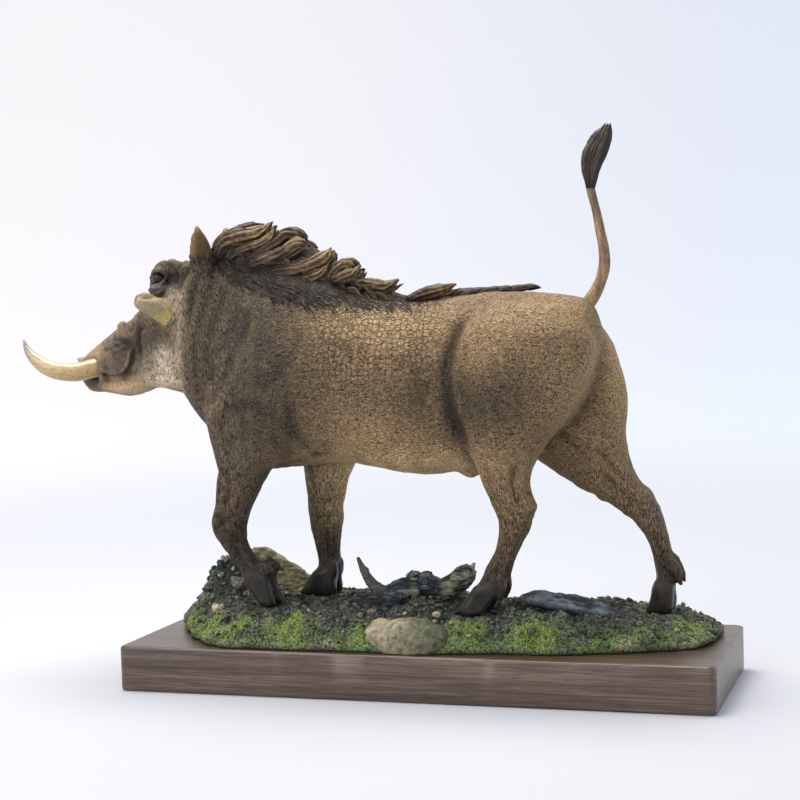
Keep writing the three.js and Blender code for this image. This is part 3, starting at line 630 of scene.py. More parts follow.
def fuse(parts, voxel, spread=None, gathered=None):
    """One skin round overlapping parts, rebuilt on a grid of that many millimetres: points, quads, edges.
    Spread and gathered stretch the points before and put them back after, for finer faces in one region."""
    points, faces = gather(parts)
    if spread:
        points = spread(points)
    mesh = bpy.data.meshes.new("rough_skin")
    mesh.from_pydata((points / 1000).tolist(), [], faces)
    holder = bpy.data.objects.new("rough_skin", mesh)
    bpy.context.scene.collection.objects.link(holder)
    modifier = holder.modifiers.new("fuse", "REMESH")
    modifier.mode = "VOXEL"
    modifier.voxel_size = voxel / 1000
    skin = bpy.data.meshes.new_from_object(holder.evaluated_get(bpy.context.evaluated_depsgraph_get()))
    fused = np.empty(len(skin.vertices) * 3)
    skin.vertices.foreach_get("co", fused)
    fused = fused.reshape(-1, 3) * 1000
    quads = np.empty(len(skin.loops), int)
    skin.loops.foreach_get("vertex_index", quads)
    edges = np.empty(len(skin.edges) * 2, int)
    skin.edges.foreach_get("vertices", edges)
    bpy.data.objects.remove(holder)
    for spare in (mesh, skin):
        bpy.data.meshes.remove(spare)
    return gathered(fused) if gathered else fused, quads.reshape(-1, 4), edges.reshape(-1, 2)


def relax(points, edges, rounds, weight=0.5):
    """Moves each point towards the middle of its neighbours, as sanding does."""
    count = len(points)
    start, end = edges.T
    neighbours = np.bincount(edges.ravel(), minlength=count)
    for _ in range(rounds):
        middle = np.column_stack([
            (np.bincount(start, points[end, axis], count) + np.bincount(end, points[start, axis], count)) / neighbours
            for axis in range(3)
        ])
        points = points + (middle - points) * weight
    return points


def outward(points, quads):
    """Unit normals of the points: the sum of the crossed diagonals of the quads round each."""
    crossed = np.cross(points[quads[:, 2]] - points[quads[:, 0]], points[quads[:, 3]] - points[quads[:, 1]])
    normals = np.column_stack([
        np.bincount(quads.ravel(), np.repeat(crossed[:, axis], 4), len(points)) for axis in range(3)
    ])
    return normals / np.maximum(np.linalg.norm(normals, axis=1, keepdims=True), 1e-9)


def slab_block():
    """A six-sided plate of broken rock, leaning on the soil, with a rough face and rounded arrises."""
    outline = np.array([[-17, -10], [-17.5, 4], [-12, 6.2], [9, 4.5], [15, 0.5], [12, -9]])
    grown = outline * (1 + 1.6 / np.linalg.norm(outline, axis=1, keepdims=True))
    rings = np.stack([
        np.column_stack([shape, np.full(6, depth)])
        for shape, depth in [(outline, -1.6), (grown, 0), (grown, 6), (outline, 7.6)]
    ])
    lean, tip = math.pi / 2 - 0.35, 0.45
    about_x = np.array([[1, 0, 0], [0, math.cos(lean), -math.sin(lean)], [0, math.sin(lean), math.cos(lean)]])
    about_y = np.array([[math.cos(tip), 0, math.sin(tip)], [0, 1, 0], [-math.sin(tip), 0, math.cos(tip)]])
    return tube(rings @ (about_y @ about_x).T + [-77.5, 32, 4.8 + stand])


rock = Paint("painted_rock", 0.9)
mottle = rock.noise(2.2, detail=5.0, roughness=0.65)
pits = rock.cells(1.6, feature="F1")
rock_colour = rock.drybrush(0.7, mottle, [
    (0.36, (0.16, 0.15, 0.12)), (0.5, (0.5, 0.5, 0.48)), (0.66, (0.86, 0.84, 0.76)),
])
rock_paint = rock.finish(rock_colour, None, 0.7 * mottle + 0.3 * pits, 0.8, 0.8)
half_buried = boulder((-1, -34.3, -8.6), (18.5, 8, 8.2), 0, 41, 90)
stone_points, stone_faces = gather([
    half_buried, boulder((-41.5, -32, -4.2), (2.2, 1.7, 1.5), 0.2, 62, 16),
    boulder((10.5, -29, 0.4), (1.4, 1.1, 1), 0, 63, 12),
])
stone_points[:, 2] = np.maximum(stone_points[:, 2], plinth_height + 0.1)
mossy = held((stone_points[:, 0] + 4 + 5 * rough(stone_points, 4, 64)) / 12)
mossy[len(half_buried[0]):] = 0
stone_colour = washed(
    stone_points, [0.360, 0.310, 0.215],
    ([0.170, 0.155, 0.110], held(0.3 + rough(stone_points, 8, 65)) * 0.7), ([0.095, 0.105, 0.060], 0.9 * mossy),
)
piece_of("ground_stones", stone_points, stone_faces, rock_paint, "painted_ground", "ground", colours=stone_colour)

slab_points, slab_quads, slab_edges = fuse([slab_block()], 0.6)
slab_points = relax(slab_points, slab_edges, 4)
slab_points += outward(slab_points, slab_quads) * (
    0.55 * rough(slab_points, 5, 71) + 0.5 * rough(slab_points * [0.6, 1, 2.2], 2, 72)
)[:, None]
slab_colour = washed(
    slab_points, [0.135, 0.126, 0.072],
    ([0.280, 0.250, 0.155], held(0.4 + 1.2 * rough(slab_points * [0.5, 1, 1.6], 2.6, 73)) * 0.7),
)
piece_of(
    "ground_slab", slab_points, slab_quads.tolist(), rock_paint, "painted_ground", "ground", colours=slab_colour
)


# Driftwood and bark: a fallen branch with a broken stub, a twig and roots, and a plate of bark, all in the
# same cast, painted blue-black with grey drybrushed on the ridges of the grain and a pale sawn knot.
def rod(points, steps, sides, flutes=0, depth=0.0, twist=0.0):
    """A round rod along the smooth curve through points of [x, y, z, half height, half width]. Flutes are
    grooves along it: the radius shrinks by depth times the square of a cosine of the angle."""
    rows = np.array([list(row) + [row[3]] * (5 - len(row)) for row in points], float)
    path = through(rows, np.linspace(0, 1, steps + 1))
    middle = path[:, :3]
    tangent = np.gradient(middle, axis=0)
    tangent /= np.linalg.norm(tangent, axis=1, keepdims=True)
    steep = np.abs(tangent[:, 1:2]) > 0.9
    up = np.cross(tangent, np.where(steep, [0, 0, 1], [0, 1, 0]))
    up /= np.linalg.norm(up, axis=1, keepdims=True)
    side = np.cross(tangent, up)
    angle = 2 * np.pi * np.arange(sides) / sides
    turned = angle + twist * np.linspace(0, 1, steps + 1)[:, None]
    groove = 1 - depth * np.cos(0.5 * flutes * turned) ** 2 if flutes else np.ones((steps + 1, sides))
    high = (path[:, 3:4] * np.cos(angle) * groove)[..., None]
    wide = (path[:, 4:5] * np.sin(angle) * groove)[..., None]
    return tube(middle[:, None] + high * up[:, None] + wide * side[:, None])


branch_rods = [
    rod([
        [-47, -6, -4, 2.2], [-36, -6, -1.2, 3.2], [-24, -5, 0.6, 4.0], [-12, -4, 5, 5.4, 7], [-2, -4, 7.2, 5.4, 6],
        [5, -4, 5.8, 4.8], [11, -3.4, 8.6, 4.9], [15.4, -3, 12.4, 4.5], [18.4, -2.6, 15.6, 3.0],
    ], 60, 28),
    rod([
        [-12, -5, 3, 3.6], [-19, -5, 4.4, 3.2], [-24.3, -5, 8, 2.5], [-27.6, -5.4, 13, 1.8], [-30.6, -6, 20, 0.8],
    ], 24, 18),
    rod([[-26.6, -5.2, 10, 1.5], [-26.2, -5.5, 15.4, 0.5]], 8, 10),
    rod([[-14, -9, 3.6, 2.2], [-24, -12, 0, 1.8], [-34, -13, -2.6, 1.3]], 16, 14),
    rod([[-8, -6, 4, 3.4], [-13, -14, 1.5, 2.6], [-19, -21, -2.5, 1.6]], 16, 18),
    rod([[0, -2, 6, 3.6], [8, 8, 3, 2.8], [14, 16, -2.5, 1.8]], 16, 18),
    rod([[-3.6, -8, 6.2, 2.8, 3.2], [-4.4, -11, 6.2, 2.3, 2.6]], 3, 16),
    rod([[10, -4.4, 9, 2.0], [11.6, -4.6, 14.2, 0.6]], 6, 10),
    rod([[17, -3.6, 13, 1.8], [20.6, -4, 18.2, 0.5]], 6, 10),
]
branch_points, branch_quads, branch_edges = fuse(branch_rods, 0.6)
branch_points = relax(branch_points, branch_edges, 3) + [0, 0, stand]
fibres = branch_points * [0.35, 1.5, 1.5]
branch_grain = rough(fibres, 1.6, 81) + 0.6 * rough(fibres, 0.8, 82)
twig = held((-16 - branch_points[:, 0]) / 3) * held((branch_points[:, 2] - stand - 4) / 3)
branch_points += outward(branch_points, branch_quads) * ((0.55 - 0.42 * twig) * branch_grain)[:, None]
stub = held((branch_points[:, 0] - 4) / 6)
knot = np.exp(-((np.linalg.norm(branch_points - [-4.5, -11.6, 39.4], axis=1) / 2.3) ** 4))
branch_colour = washed(
    branch_points, [0.020, 0.024, 0.027], ([0.170, 0.200, 0.220], held(branch_grain - 0.1)),
    ([0.270, 0.280, 0.190], stub * held(0.55 + branch_grain)), ([0.130, 0.125, 0.100], 0.6 * twig),
    ([0.24, 0.22, 0.15], knot * 0.8),
)

weathered = Paint("weathered_wood", 0.75, Specular_IOR_Level=0.3)
fibre = weathered.noise(0.8, (0.3, 1.3, 1.3), 4.0, 0.65)
weathered_colour = weathered.drybrush(0.6, fibre, [
    (0.36, (0.15, 0.15, 0.16)), (0.52, (0.5, 0.5, 0.5)), (0.68, (0.85, 0.85, 0.82)),
])
weathered_paint = weathered.finish(weathered_colour, None, fibre, 0.5, 0.8)
piece_of(
    "ground_branch", branch_points, branch_quads.tolist(), weathered_paint, "painted_ground", "ground",
    colours=branch_colour,
)

bark_points, bark_faces = rod([
    [43.4, -12, 4.6, 2.2, 3], [50, -12, 4.6, 3.2, 6], [60, -11.5, 3, 3.4, 7.5], [72, -11, 0.8, 3.2, 7],
    [86, -10, -3.5, 2, 4],
], 110, 64)
bark_points = bark_points + [0, 0, stand]
bark_ridges = rough(bark_points * [0.22, 1, 1], 2.4, 91) + 0.5 * rough(bark_points * [0.4, 1, 1], 1.1, 92)
bark_points[:, 2] += 0.9 * bark_ridges + 0.25 * rough(bark_points, 0.9, 93)
bark_colour = washed(
    bark_points, [0.030, 0.038, 0.046], ([0.190, 0.225, 0.260], held(0.28 + 0.9 * bark_ridges) * 0.85)
)
piece_of("ground_bark", bark_points, bark_faces, weathered_paint, "painted_ground", "ground", colours=bark_colour)


# ---- Warthog --------------------------------------------------------------------------------------------
# The body is one resin cast, from the hooves to the crest of the neck, painted by hand: golden tan airbrushed
# with grey brown, a dark wash in the creases that is also painted shade, and pale drybrushing on the ridges
# that is also a painted highlight. It is glued on the ground.

# Rows for loft(): two points x, z of the side outline, half width, middle y, and a taper
trunk = [
    [76, 110, 73, 98, 6, 0], [71, 125, 70, 88, 17, 0], [60, 128.5, 62, 76, 23, 0], [46, 130, 46, 66, 26, 0],
    [30, 130.3, 29, 58.5, 27.5, 0], [14, 128.5, 13, 56, 28.5, 0], [-3, 128, -3, 54.8, 30, 0],
    [-20, 131, -21, 57.6, 31, 0], [-37, 138.5, -38, 60.7, 30.5, 0], [-53, 146, -53, 58.5, 28.5, 0, 0.08],
    [-67, 150, -70, 56.5, 27, 0, 0.15], [-80, 151, -86, 62, 25, 0, 0.2], [-89, 150, -97, 75, 22.5, 0, 0.22],
    [-95, 149.5, -104, 84, 20, 0, 0.2], [-101, 148, -108, 90, 17.5, 0, 0.15],
]
skull = [
    [-90, 147, -97, 86, 18.5, 0], [-99, 147.5, -105, 89, 17.5, 0], [-107, 146.5, -112, 90.5, 16.5, 0],
    [-116, 142, -118, 92, 15, 0], [-123, 133.5, -124, 92.3, 13.8, 0], [-129, 126.5, -130, 90, 11.8, 0],
    [-134, 122, -136, 88.8, 10.5, 0], [-141, 118, -142, 89.6, 10, 0], [-148, 113, -147, 90.6, 10, 0],
    [-153, 109, -152, 91, 10.8, 0], [-155.6, 106, -155.2, 94, 10, 0],
]
legs = [
    [
        [-80, 122, -44, 118, 8, -16], [-89, 104, -42, 98, 10.5, -19], [-92, 86, -50, 76, 12, -19.5],
        [-89.5, 69, -61.5, 60, 11, -19.5], [-87.8, 60, -65.5, 55.5, 9.8, -19], [-88.3, 51.5, -68.5, 50, 8.8, -19],
        [-89, 43.5, -72, 43.5, 8, -19], [-90.5, 36.8, -74.8, 36.8, 7.5, -19], [-89.5, 31, -75.9, 31, 7, -19],
        [-86.6, 25.5, -75.3, 26, 6.2, -19], [-83, 20.5, -72.9, 21, 5.6, -19], [-79.8, 16.5, -68.5, 17, 5.8, -19],
        [-76.8, 12.5, -65.5, 13, 6.2, -19], [-74.5, 9.5, -65, 10, 6.2, -19],
    ], [
        [-70, 118, -34, 112, 8, 14], [-72, 98, -32, 90, 10.5, 17], [-68, 80, -35, 72, 12, 17.5],
        [-63, 64, -37.5, 62, 10.5, 17.5], [-61.7, 54.3, -40.3, 54, 9.4, 17], [-60.6, 45.5, -42.8, 45.5, 8.3, 17],
        [-61, 38, -44.5, 38.8, 7.6, 17], [-60, 32.2, -43.8, 33.8, 7.4, 17], [-58.6, 27, -45.8, 27, 6.6, 17],
        [-57.3, 20, -46.6, 20, 5.6, 17], [-56.4, 14, -46.8, 14.5, 5.8, 17], [-57, 9.5, -46.6, 9, 6.2, 17],
        [-59, 6, -47.2, 5, 6, 17],
    ], [
        [34, 127, 64, 124, 9, -12], [24, 119, 74.5, 113, 15.5, -14], [18, 107, 75.3, 102, 18, -14.5],
        [16.8, 94, 71.5, 91, 17, -15.5], [18, 82, 64, 79, 15.5, -16.5], [22, 69, 54.5, 68, 13, -17.5],
        [26.6, 57.5, 49.2, 57.5, 10.5, -19], [30.6, 48, 48.6, 50, 8.6, -19], [34, 41, 51.2, 43.5, 7.6, -19],
        [35.2, 36.5, 50.2, 38, 7.2, -19], [34.6, 31, 46.6, 31.5, 6.4, -19], [33, 24.5, 43, 24.5, 5.7, -19],
        [28.5, 17, 40.2, 17.7, 5.6, -19], [25.5, 11.5, 38, 11, 6.2, -19], [23, 8, 35, 6, 6.2, -19],
    ], [
        [36, 127, 66, 122, 9, 12], [26, 117, 76.5, 110, 15, 14], [22, 101, 80.3, 97, 17.5, 14.5],
        [24, 84, 81.8, 84, 16.5, 15], [31, 71, 81, 70.5, 14.5, 15.5], [42, 61, 82, 61.5, 12, 16.5],
        [55, 51, 84.3, 54, 9.6, 17], [66, 44.5, 88, 49.4, 8.4, 17], [76, 39, 92.5, 46.5, 7.6, 17],
        [83, 33.8, 94.4, 39, 7.2, 17], [88, 27.5, 97, 31.8, 6.4, 17], [91, 20.5, 99, 25, 5.6, 17],
        [92.5, 13.5, 100.3, 17, 5.6, 17], [92.8, 8.5, 100.5, 9.5, 5.9, 17], [91.5, 4, 100.2, 4, 6, 17],
    ],
]

# Each foot's middle y, the outline of its two claws, and x, z and radius of its two dewclaws
hooves = [
    (
        -18.5,
        [[-78, 16, -65, 15, 3.4], [-75.5, 10, -63.5, 9, 3.9], [-71.5, 5, -62.5, 4.5, 3.8], [-68.5, 0.8, -62, 0.8, 3.3]],
        [[-69, 19, 2.4], [-64.5, 17, 2.2], [-60.6, 14, 0.8]],
    ), (
        17,
        [[-57.6, 11, -48, 10.5, 3.3], [-60.5, 6.5, -47.2, 6, 3.8], [-63.2, 2.5, -47, 2.5, 4],
         [-64.6, 0, -47.5, 0, 3.9]],
        [[-51, 16, 2.2], [-48, 13, 2], [-46.6, 8.5, 0.9]],
    ), (
        -19,
        [[25, 12, 36, 11, 3.4], [21.2, 6.5, 33.5, 5.5, 3.9], [17.6, 2.5, 31, 2.5, 4], [15.4, 0, 30, 0, 3.9]],
        [[35, 16, 2.3], [37, 11, 2.4], [36, 5, 1]],
    ), (
        17,
        [[92, 9, 100, 8, 3.3], [90.6, 3.5, 100.2, 3, 3.8], [88.8, -1.5, 100, -1.5, 3.9], [87.6, -4.2, 99.6, -4.2, 3.8]],
        [[98.5, 19, 2.5], [101.8, 13, 2.3], [104.2, 6.4, 1]],
    ),
]
crest = [
    [12, 130.6, 12, 120, 4.5, 0], [-5, 129.8, -5, 120, 6.5, 0, 0.3], [-22, 136, -22, 122, 9, 0, 0.35],
    [-37, 144, -37, 127, 11, 0, 0.35], [-50, 152, -50, 132, 12, 0, 0.35], [-64, 158, -62, 136, 12.5, 0, 0.35],
    [-78, 160, -74, 138, 12, 0, 0.3], [-89, 157, -84, 140, 10, 0, 0.3], [-92.5, 150, -90, 140, 5, 0],
]


def loft(rows, steps, sides=44, roundness=2.2):
    """A skin through rows of [x1, z1, x2, z2, half width, y, taper]: each section is a rounded ellipse that
    spans two points of the side outline, narrower at the first where its taper is above zero."""
    table = np.array([list(row) + [0] * (7 - len(row)) for row in rows], float)
    x1, z1, x2, z2, wide, y, taper = through(table, np.linspace(0, 1, steps + 1)).T[..., None]
    angle = 2 * np.pi * np.arange(sides) / sides
    along = np.sign(np.cos(angle)) * np.abs(np.cos(angle)) ** (2 / roundness)
    aside = np.sign(np.sin(angle)) * np.abs(np.sin(angle)) ** (2 / roundness)
    return tube(np.stack([
        (x1 + x2) / 2 + (x1 - x2) / 2 * along, y + aside * wide * (1 - taper * along),
        (z1 + z2) / 2 + (z1 - z2) / 2 * along,
    ], -1))


def lump(middle, radii):
    """A ball stretched to its radii."""
    unit, faces = ball(28, 16)
    return unit * radii + middle, faces


def collar(middle, axis, radius, thick):
    """A round ring about an axis, as the rim of a socket: a rod bent to a circle whose ends overlap."""
    axis = np.asarray(axis, float) / np.linalg.norm(axis)
    across = np.cross(axis, [0, 0, 1])
    across /= np.linalg.norm(across)
    upright = np.cross(across, axis)
    turn = np.linspace(0, 2 * np.pi, 13)[:, None]
    circle = np.asarray(middle) + radius * (np.cos(turn) * across + np.sin(turn) * upright)
    return rod([[*point, thick] for point in circle], 48, 16)


def face_forms(side):
    """What stands proud on one side of the head: cheek, brow, eye socket with its lids, warts and lips."""
    return [
        lump((-110, side * 8.5, 107), (13, 8, 13.5)),
        rod([[-127, side * 6, 96.6, 3], [-117, side * 8, 97.4, 4.6], [-104, side * 9, 97, 5.5]], 14, 20),
        lump((-106, side * 10, 128), (10, 8.2, 12)),
        collar((-144.9, side * 11.9, 102.4), (-5.5, side * 4, -0.8), 5.1, 1.6),
        rod([[-101, side * 10, 142.5, 3.4], [-107, side * 11.5, 144, 3.6], [-113, side * 11.5, 144, 3.6],
             [-118.5, side * 10.5, 139, 2.2]], 18, 20),
        rod([[-110.2, side * 14.2, 141.4, 0.9], [-112.4, side * 15.6, 143.4, 1.15], [-115, side * 15.2, 143.6, 1.2],
             [-117.4, side * 13.4, 141.8, 1.1], [-118.6, side * 12, 139.6, 0.8]], 16, 12),
        rod([[-110.2, side * 14, 140.6, 0.8], [-112.2, side * 15.6, 138, 1.1], [-115, side * 15.4, 136.8, 1.25],
             [-117.6, side * 13.6, 137, 1.1], [-119, side * 12, 138.2, 0.8]], 16, 12),
        rod([[-110.5, side * 14, 137.5, 0.8], [-113.5, side * 15.2, 134.6, 1.3], [-117, side * 13.8, 134, 1.4],
             [-120, side * 11.4, 135.4, 1]], 12, 12),
        rod([[-107, side * 11, 122.5, 7, 6], [-110.6, side * 15, 125.4, 6, 5], [-114.6, side * 19.5, 128.2, 4.8],
             [-117.8, side * 23, 130.2, 4.0], [-119.8, side * 25, 131.2, 2.8]], 20, 24),
        rod([[-130.6, side * 6.4, 113.4, 4.6], [-133.2, side * 9.0, 118, 3.4], [-134.8, side * 11, 121, 1.9]], 10, 18),
        rod([[-128.5, side * 8, 104.6, 6, 4], [-134, side * 10, 105.5, 8, 5], [-139.6, side * 11, 104.6, 8, 5],
             [-145, side * 10.5, 102.6, 5.6, 4]], 18, 24),
        rod([[-126, side * 7.5, 95.5, 2.6], [-134, side * 8.6, 94, 3.4], [-142, side * 8.6, 94.4, 3],
             [-147, side * 8, 95, 2]], 14, 18),
        lump((-150.5, side * 5, 96), (4.6, 5, 5)),
    ]


def ear(side):
    """A leaf-shaped cup that opens forwards: each section is an arc of wall, wide at the middle height."""
    height = np.linspace(0, 1, 22)[:, None]
    arc = np.linspace(-2.15, 2.15, 22)
    middle_x = -95.6 + 0.6 * height
    middle_y = side * (12.4 + 3.6 * height)
    deep = 5.9 * np.sin(np.pi * (0.32 + 0.66 * height)) ** 0.8 + 0.25
    wide = 4.6 * np.sin(np.pi * (0.32 + 0.66 * height)) ** 0.8 + 0.25
    level = 141.5 + 20.8 * height
    wall = np.minimum(1.6, 0.8 * wide)
    outer = np.stack([
        middle_x + deep * np.cos(arc), middle_y + side * wide * np.sin(arc), level + 0 * arc
    ], -1)
    inner = np.stack([
        middle_x + (deep - wall) * np.cos(arc), middle_y + side * (wide - wall) * np.sin(arc), level + 0 * arc
    ], -1)
    return tube(np.concatenate([outer, inner[:, ::-1]], 1))


body_parts = [loft(trunk, 90, 64), loft(skull, 60, 56, 2.8), loft(crest, 40, 36)]
body_parts += [loft(rows, 5 * len(rows), 36) for rows in legs]
for foot_y, claw, dewclaw in hooves:
    for offset in (-4.05, 4.05):
        body_parts.append(loft([[*row, foot_y + offset] for row in claw], 18, 26, 2.5))
        body_parts.append(rod([[x, foot_y + offset * 1.1, z, 0.95 * radius] for x, z, radius in dewclaw], 12, 14))
body_parts.append(rod([[24, 0, 62, 6, 5], [19, 0, 56.5, 4, 4], [15.6, 0, 53.8, 2.2]], 16, 20))
body_parts += face_forms(-1) + face_forms(1) + [ear(-1), ear(1)]

head_from = -82.0  # ahead of this the grid is finer
head_growth = 1.8
head_middle = [0, 115]  # y and z of the line about which the head is drawn larger
head_run = np.linspace(-170, 120, 2901)
head_factor = 1 + (head_growth - 1) * held((head_from - head_run) / 12)
head_spread = head_from + (head_run - head_from) * head_factor


def spread_head(points):
    """Draws the head larger, more and more over 12 mm of the neck."""
    x = np.interp(points[:, 0], head_run, head_spread)
    factor = np.interp(points[:, 0], head_run, head_factor)[:, None]
    return np.column_stack([x, (points[:, 1:] - head_middle) * factor + head_middle])


def gather_head(points):
    """The inverse of spread_head."""
    x = np.interp(points[:, 0], head_spread, head_run)
    factor = np.interp(x, head_run, head_factor)[:, None]
    return np.column_stack([x, (points[:, 1:] - head_middle) / factor + head_middle])


hide_points, hide_quads, hide_edges = fuse(body_parts, 1.27, spread_head, gather_head)
fine_place = (hide_points[:, 0] < -97) | (hide_points[:, 2] < 14)
softness = np.where(fine_place, 0.35, 0.5)[:, None]
hide_points = relax(hide_points, hide_edges, 3, softness)
trunk_only = (1 - held((-hide_points[:, 0] - 88) / 10)) * held((hide_points[:, 2] - 22) / 20)
hide_points = relax(hide_points, hide_edges, 11, 0.5 * trunk_only[:, None])


def stroke(points, path, width, side, lip=0.0):
    """A bell curve of the distance to a path drawn on the side outline, fading at its ends, and a second
    one beside it for a raised lip. It works on one side of the animal, or on both where side is 0."""
    steps = 90
    line = through(path, np.linspace(0, 1, steps))
    reach = 4 * width
    near = np.all((points[:, [0, 2]] > line.min(0) - reach) & (points[:, [0, 2]] < line.max(0) + reach), axis=1)
    near &= points[:, 1] * side >= 0
    chosen = np.flatnonzero(near)
    apart = points[chosen][:, None, [0, 2]] - line
    distance = np.linalg.norm(apart, axis=2)
    nearest = distance.argmin(1)
    closest = distance[np.arange(len(chosen)), nearest]
    tangent = np.gradient(line, axis=0)[nearest]
    offset = apart[np.arange(len(chosen)), nearest]
    hand = np.sign(tangent[:, 0] * offset[:, 1] - tangent[:, 1] * offset[:, 0])
    fade = held(np.sin(np.pi * nearest / (steps - 1)) * 2.5)
    result = np.zeros(len(points))
    result[chosen] = fade * (
        np.exp(-(closest / width) ** 2) - lip * np.exp(-((closest * hand - 1.7 * width) / width) ** 2)
    )
    return result


# Creases and folds cut in the skin: width, depth and lip, then the path on the side outline
creases = [
    (3.0, 2.0, 0.35, [
        [26, 124], [21, 115.5], [18.3, 107.9], [16.7, 98.6], [16.9, 89.3], [18, 82], [19.9, 75], [23.4, 64],
    ]),
    (3.0, 1.3, -0.5, [[-92, 84], [-86.6, 89.1], [-80.4, 96.6], [-72.9, 113.3], [-68, 127]]),
    (1.8, 1.3, 0.4, [[-98, 86], [-100.2, 100.7], [-101.1, 113.5], [-98.2, 130.5], [-95.3, 143.1]]),
    (1.9, 0.8, 0.4, [[-93, 83.6], [-95.0, 100], [-93.4, 118], [-90.2, 134], [-86, 144]]),
    (2.2, 0.8, 0.3, [[-85, 92], [-88, 108], [-85, 124], [-80, 138]]),
    (3.0, 0.7, 0.2, [[-44, 60], [-47, 68], [-50, 78], [-50, 88]]),
    (3.5, 0.6, 0.2, [[-66, 92], [-56, 98], [-48, 108], [-44, 120]]),
    (3.0, 0.5, 0.2, [[-84, 76], [-76, 84], [-66, 86], [-56, 80]]),
    (4.0, 0.6, 0.0, [[10, 60], [2, 66], [-10, 67], [-30, 66]]),
]
head_creases = [
    (0.8, 1.6, 0.7, [
        [-144, 100.4], [-139.6, 98.6], [-136.4, 98.2], [-133, 98.9], [-130.4, 101.6], [-128.8, 105], [-128, 110.5],
    ]),
    (1.2, 0.9, 0.3, [[-121, 120], [-124.3, 117.6], [-125.2, 112], [-124.4, 106]]),
    (0.9, 0.8, 0.3, [[-153, 99], [-149, 97.4], [-145, 97.6]]),
    (1.0, 0.5, 0.2, [[-120, 133], [-113, 131.8], [-107, 134]]),
    (0.9, 0.45, 0.2, [[-103, 146], [-106, 141.5], [-105.4, 137]]),
    (0.9, 0.45, 0.2, [[-99.6, 144], [-103, 139], [-103.4, 133]]),
    (1.0, 0.5, 0.2, [[-139.5, 117], [-138, 113], [-134, 110.5]]),
    (0.9, 0.5, 0.2, [[-143.6, 115.4], [-142, 111], [-139, 108.6]]),
    (0.8, 0.6, 0.3, [[-117.6, 147.2], [-114.7, 149.3], [-111.4, 148.3], [-108.8, 145]]),
    (0.8, 0.5, 0.3, [[-109.5, 147], [-106, 143.5], [-105, 139]]),
    (0.8, 0.6, 0.3, [[-119.9, 134.2], [-117.6, 132.4], [-113.6, 132.2], [-109.6, 135]]),
    (1.1, 1.3, 0.4, [[-125.5, 128.5], [-128.4, 123], [-129, 116]]),
    (0.8, 0.4, 0.2, [[-112, 118], [-108, 112], [-107, 105]]),
]

# Creases of one leg: the side it is on, width and depth, then the path
leg_creases = [
    (-1, 1.6, 1.1, [[-80, 60], [-79.5, 50], [-82, 42]]), (-1, 1.3, 1.1, [[-79, 27], [-76.4, 21], [-73, 16]]),
    (-1, 1.3, 0.8, [[-85.9, 53.8], [-79.7, 48.7], [-85.4, 43.1]]),
    (-1, 1.2, 0.8, [[-78.2, 38.9], [-84, 36], [-88.5, 32.3]]),
    (-1, 1.2, 0.8, [[-83.5, 34], [-79, 30.6], [-76.5, 27]]), (-1, 1.1, 0.6, [[-89.6, 40], [-83, 38.4], [-76, 40]]),
    (-1, 1.4, 0.8, [[-88, 62], [-85, 52], [-86.6, 42]]), (-1, 1.2, 0.7, [[-83, 24], [-79.4, 18], [-76, 12]]),
    (1, 1.4, 1.0, [[-50, 30], [-49.5, 20], [-50, 13]]), (1, 1.2, 0.7, [[-60.5, 43], [-53, 41.6], [-45, 43]]),
    (1, 1.2, 0.7, [[-60, 36], [-53, 34.6], [-45.6, 36.6]]), (1, 1.4, 0.8, [[-55, 64], [-56, 52], [-53, 42]]),
    (-1, 1.5, 1.1, [[45, 62], [43.5, 52], [46, 44]]), (-1, 1.4, 1.0, [[41, 34], [37.4, 24], [34, 15]]),
    (-1, 1.2, 0.8, [[44.1, 46.3], [50.5, 40.2], [45.8, 34.1]]), (-1, 1.1, 0.7, [[36.4, 40.4], [41, 37.8], [48, 36.4]]),
    (-1, 1.6, 0.8, [[32, 62], [34, 52], [38, 44]]), (-1, 1.1, 0.6, [[37, 44], [43, 41.6], [49.4, 40]]),
    (1, 1.6, 1.2, [[72, 56], [80, 47], [87, 40], [90.6, 34]]), (1, 1.4, 1.0, [[92.6, 30], [95.6, 20], [96.4, 12]]),
    (1, 1.3, 0.9, [[70, 66], [76, 58], [82, 50]]), (1, 1.2, 0.8, [[86.6, 50.6], [92.7, 44.4], [90.4, 33.9]]),
    (1, 2.2, 0.8, [[48, 88], [56, 74], [66, 62]]),
    (-1, 1.6, 0.8, [[-35, 64.9], [-48.3, 62], [-59.6, 59.5], [-65.6, 54.4]]),
]
hide_normals = outward(hide_points, hide_quads)
relief = np.zeros(len(hide_points))
for width, depth, lip, path in creases + head_creases:
    relief -= depth * stroke(hide_points, path, width, 0, lip)
for side, width, depth, path in leg_creases:
    relief -= depth * stroke(hide_points, path, width, side, 0.3)
for foot_x, foot_y, length, _, sole in feet.values():
    hoof = (np.abs(hide_points[:, 0] - foot_x) < length + 8) & (hide_points[:, 2] < sole + 13)
    relief -= np.where(hoof, 1.3 * np.exp(-((hide_points[:, 1] - foot_y) / 0.9) ** 2), 0)
head_share = held((-hide_points[:, 0] - 96) / 8)
leg_share = held((58 - hide_points[:, 2]) / 14) * (1 - head_share)
wrinkled = hide_points * [1.0, 0.7, 0.45]
relief += (0.22 + 0.30 * leg_share) * rough(wrinkled, 3.2, 101) + 0.12 * rough(hide_points * [0.6, 1, 1], 1.8, 102)
relief += 0.9 * rough(hide_points, 21, 103) * (1 - head_share) * (1 - leg_share)
relief += head_share * 0.16 * rough(hide_points, 1.5, 104)
nostril = sum(
    np.exp(-((np.linalg.norm(hide_points - [-156, side * 4.4, 99.8], axis=1) / 2.2) ** 4)) for side in (-1, 1)
)
relief -= 1.6 * nostril
hide_points = hide_points + hide_normals * relief[:, None]

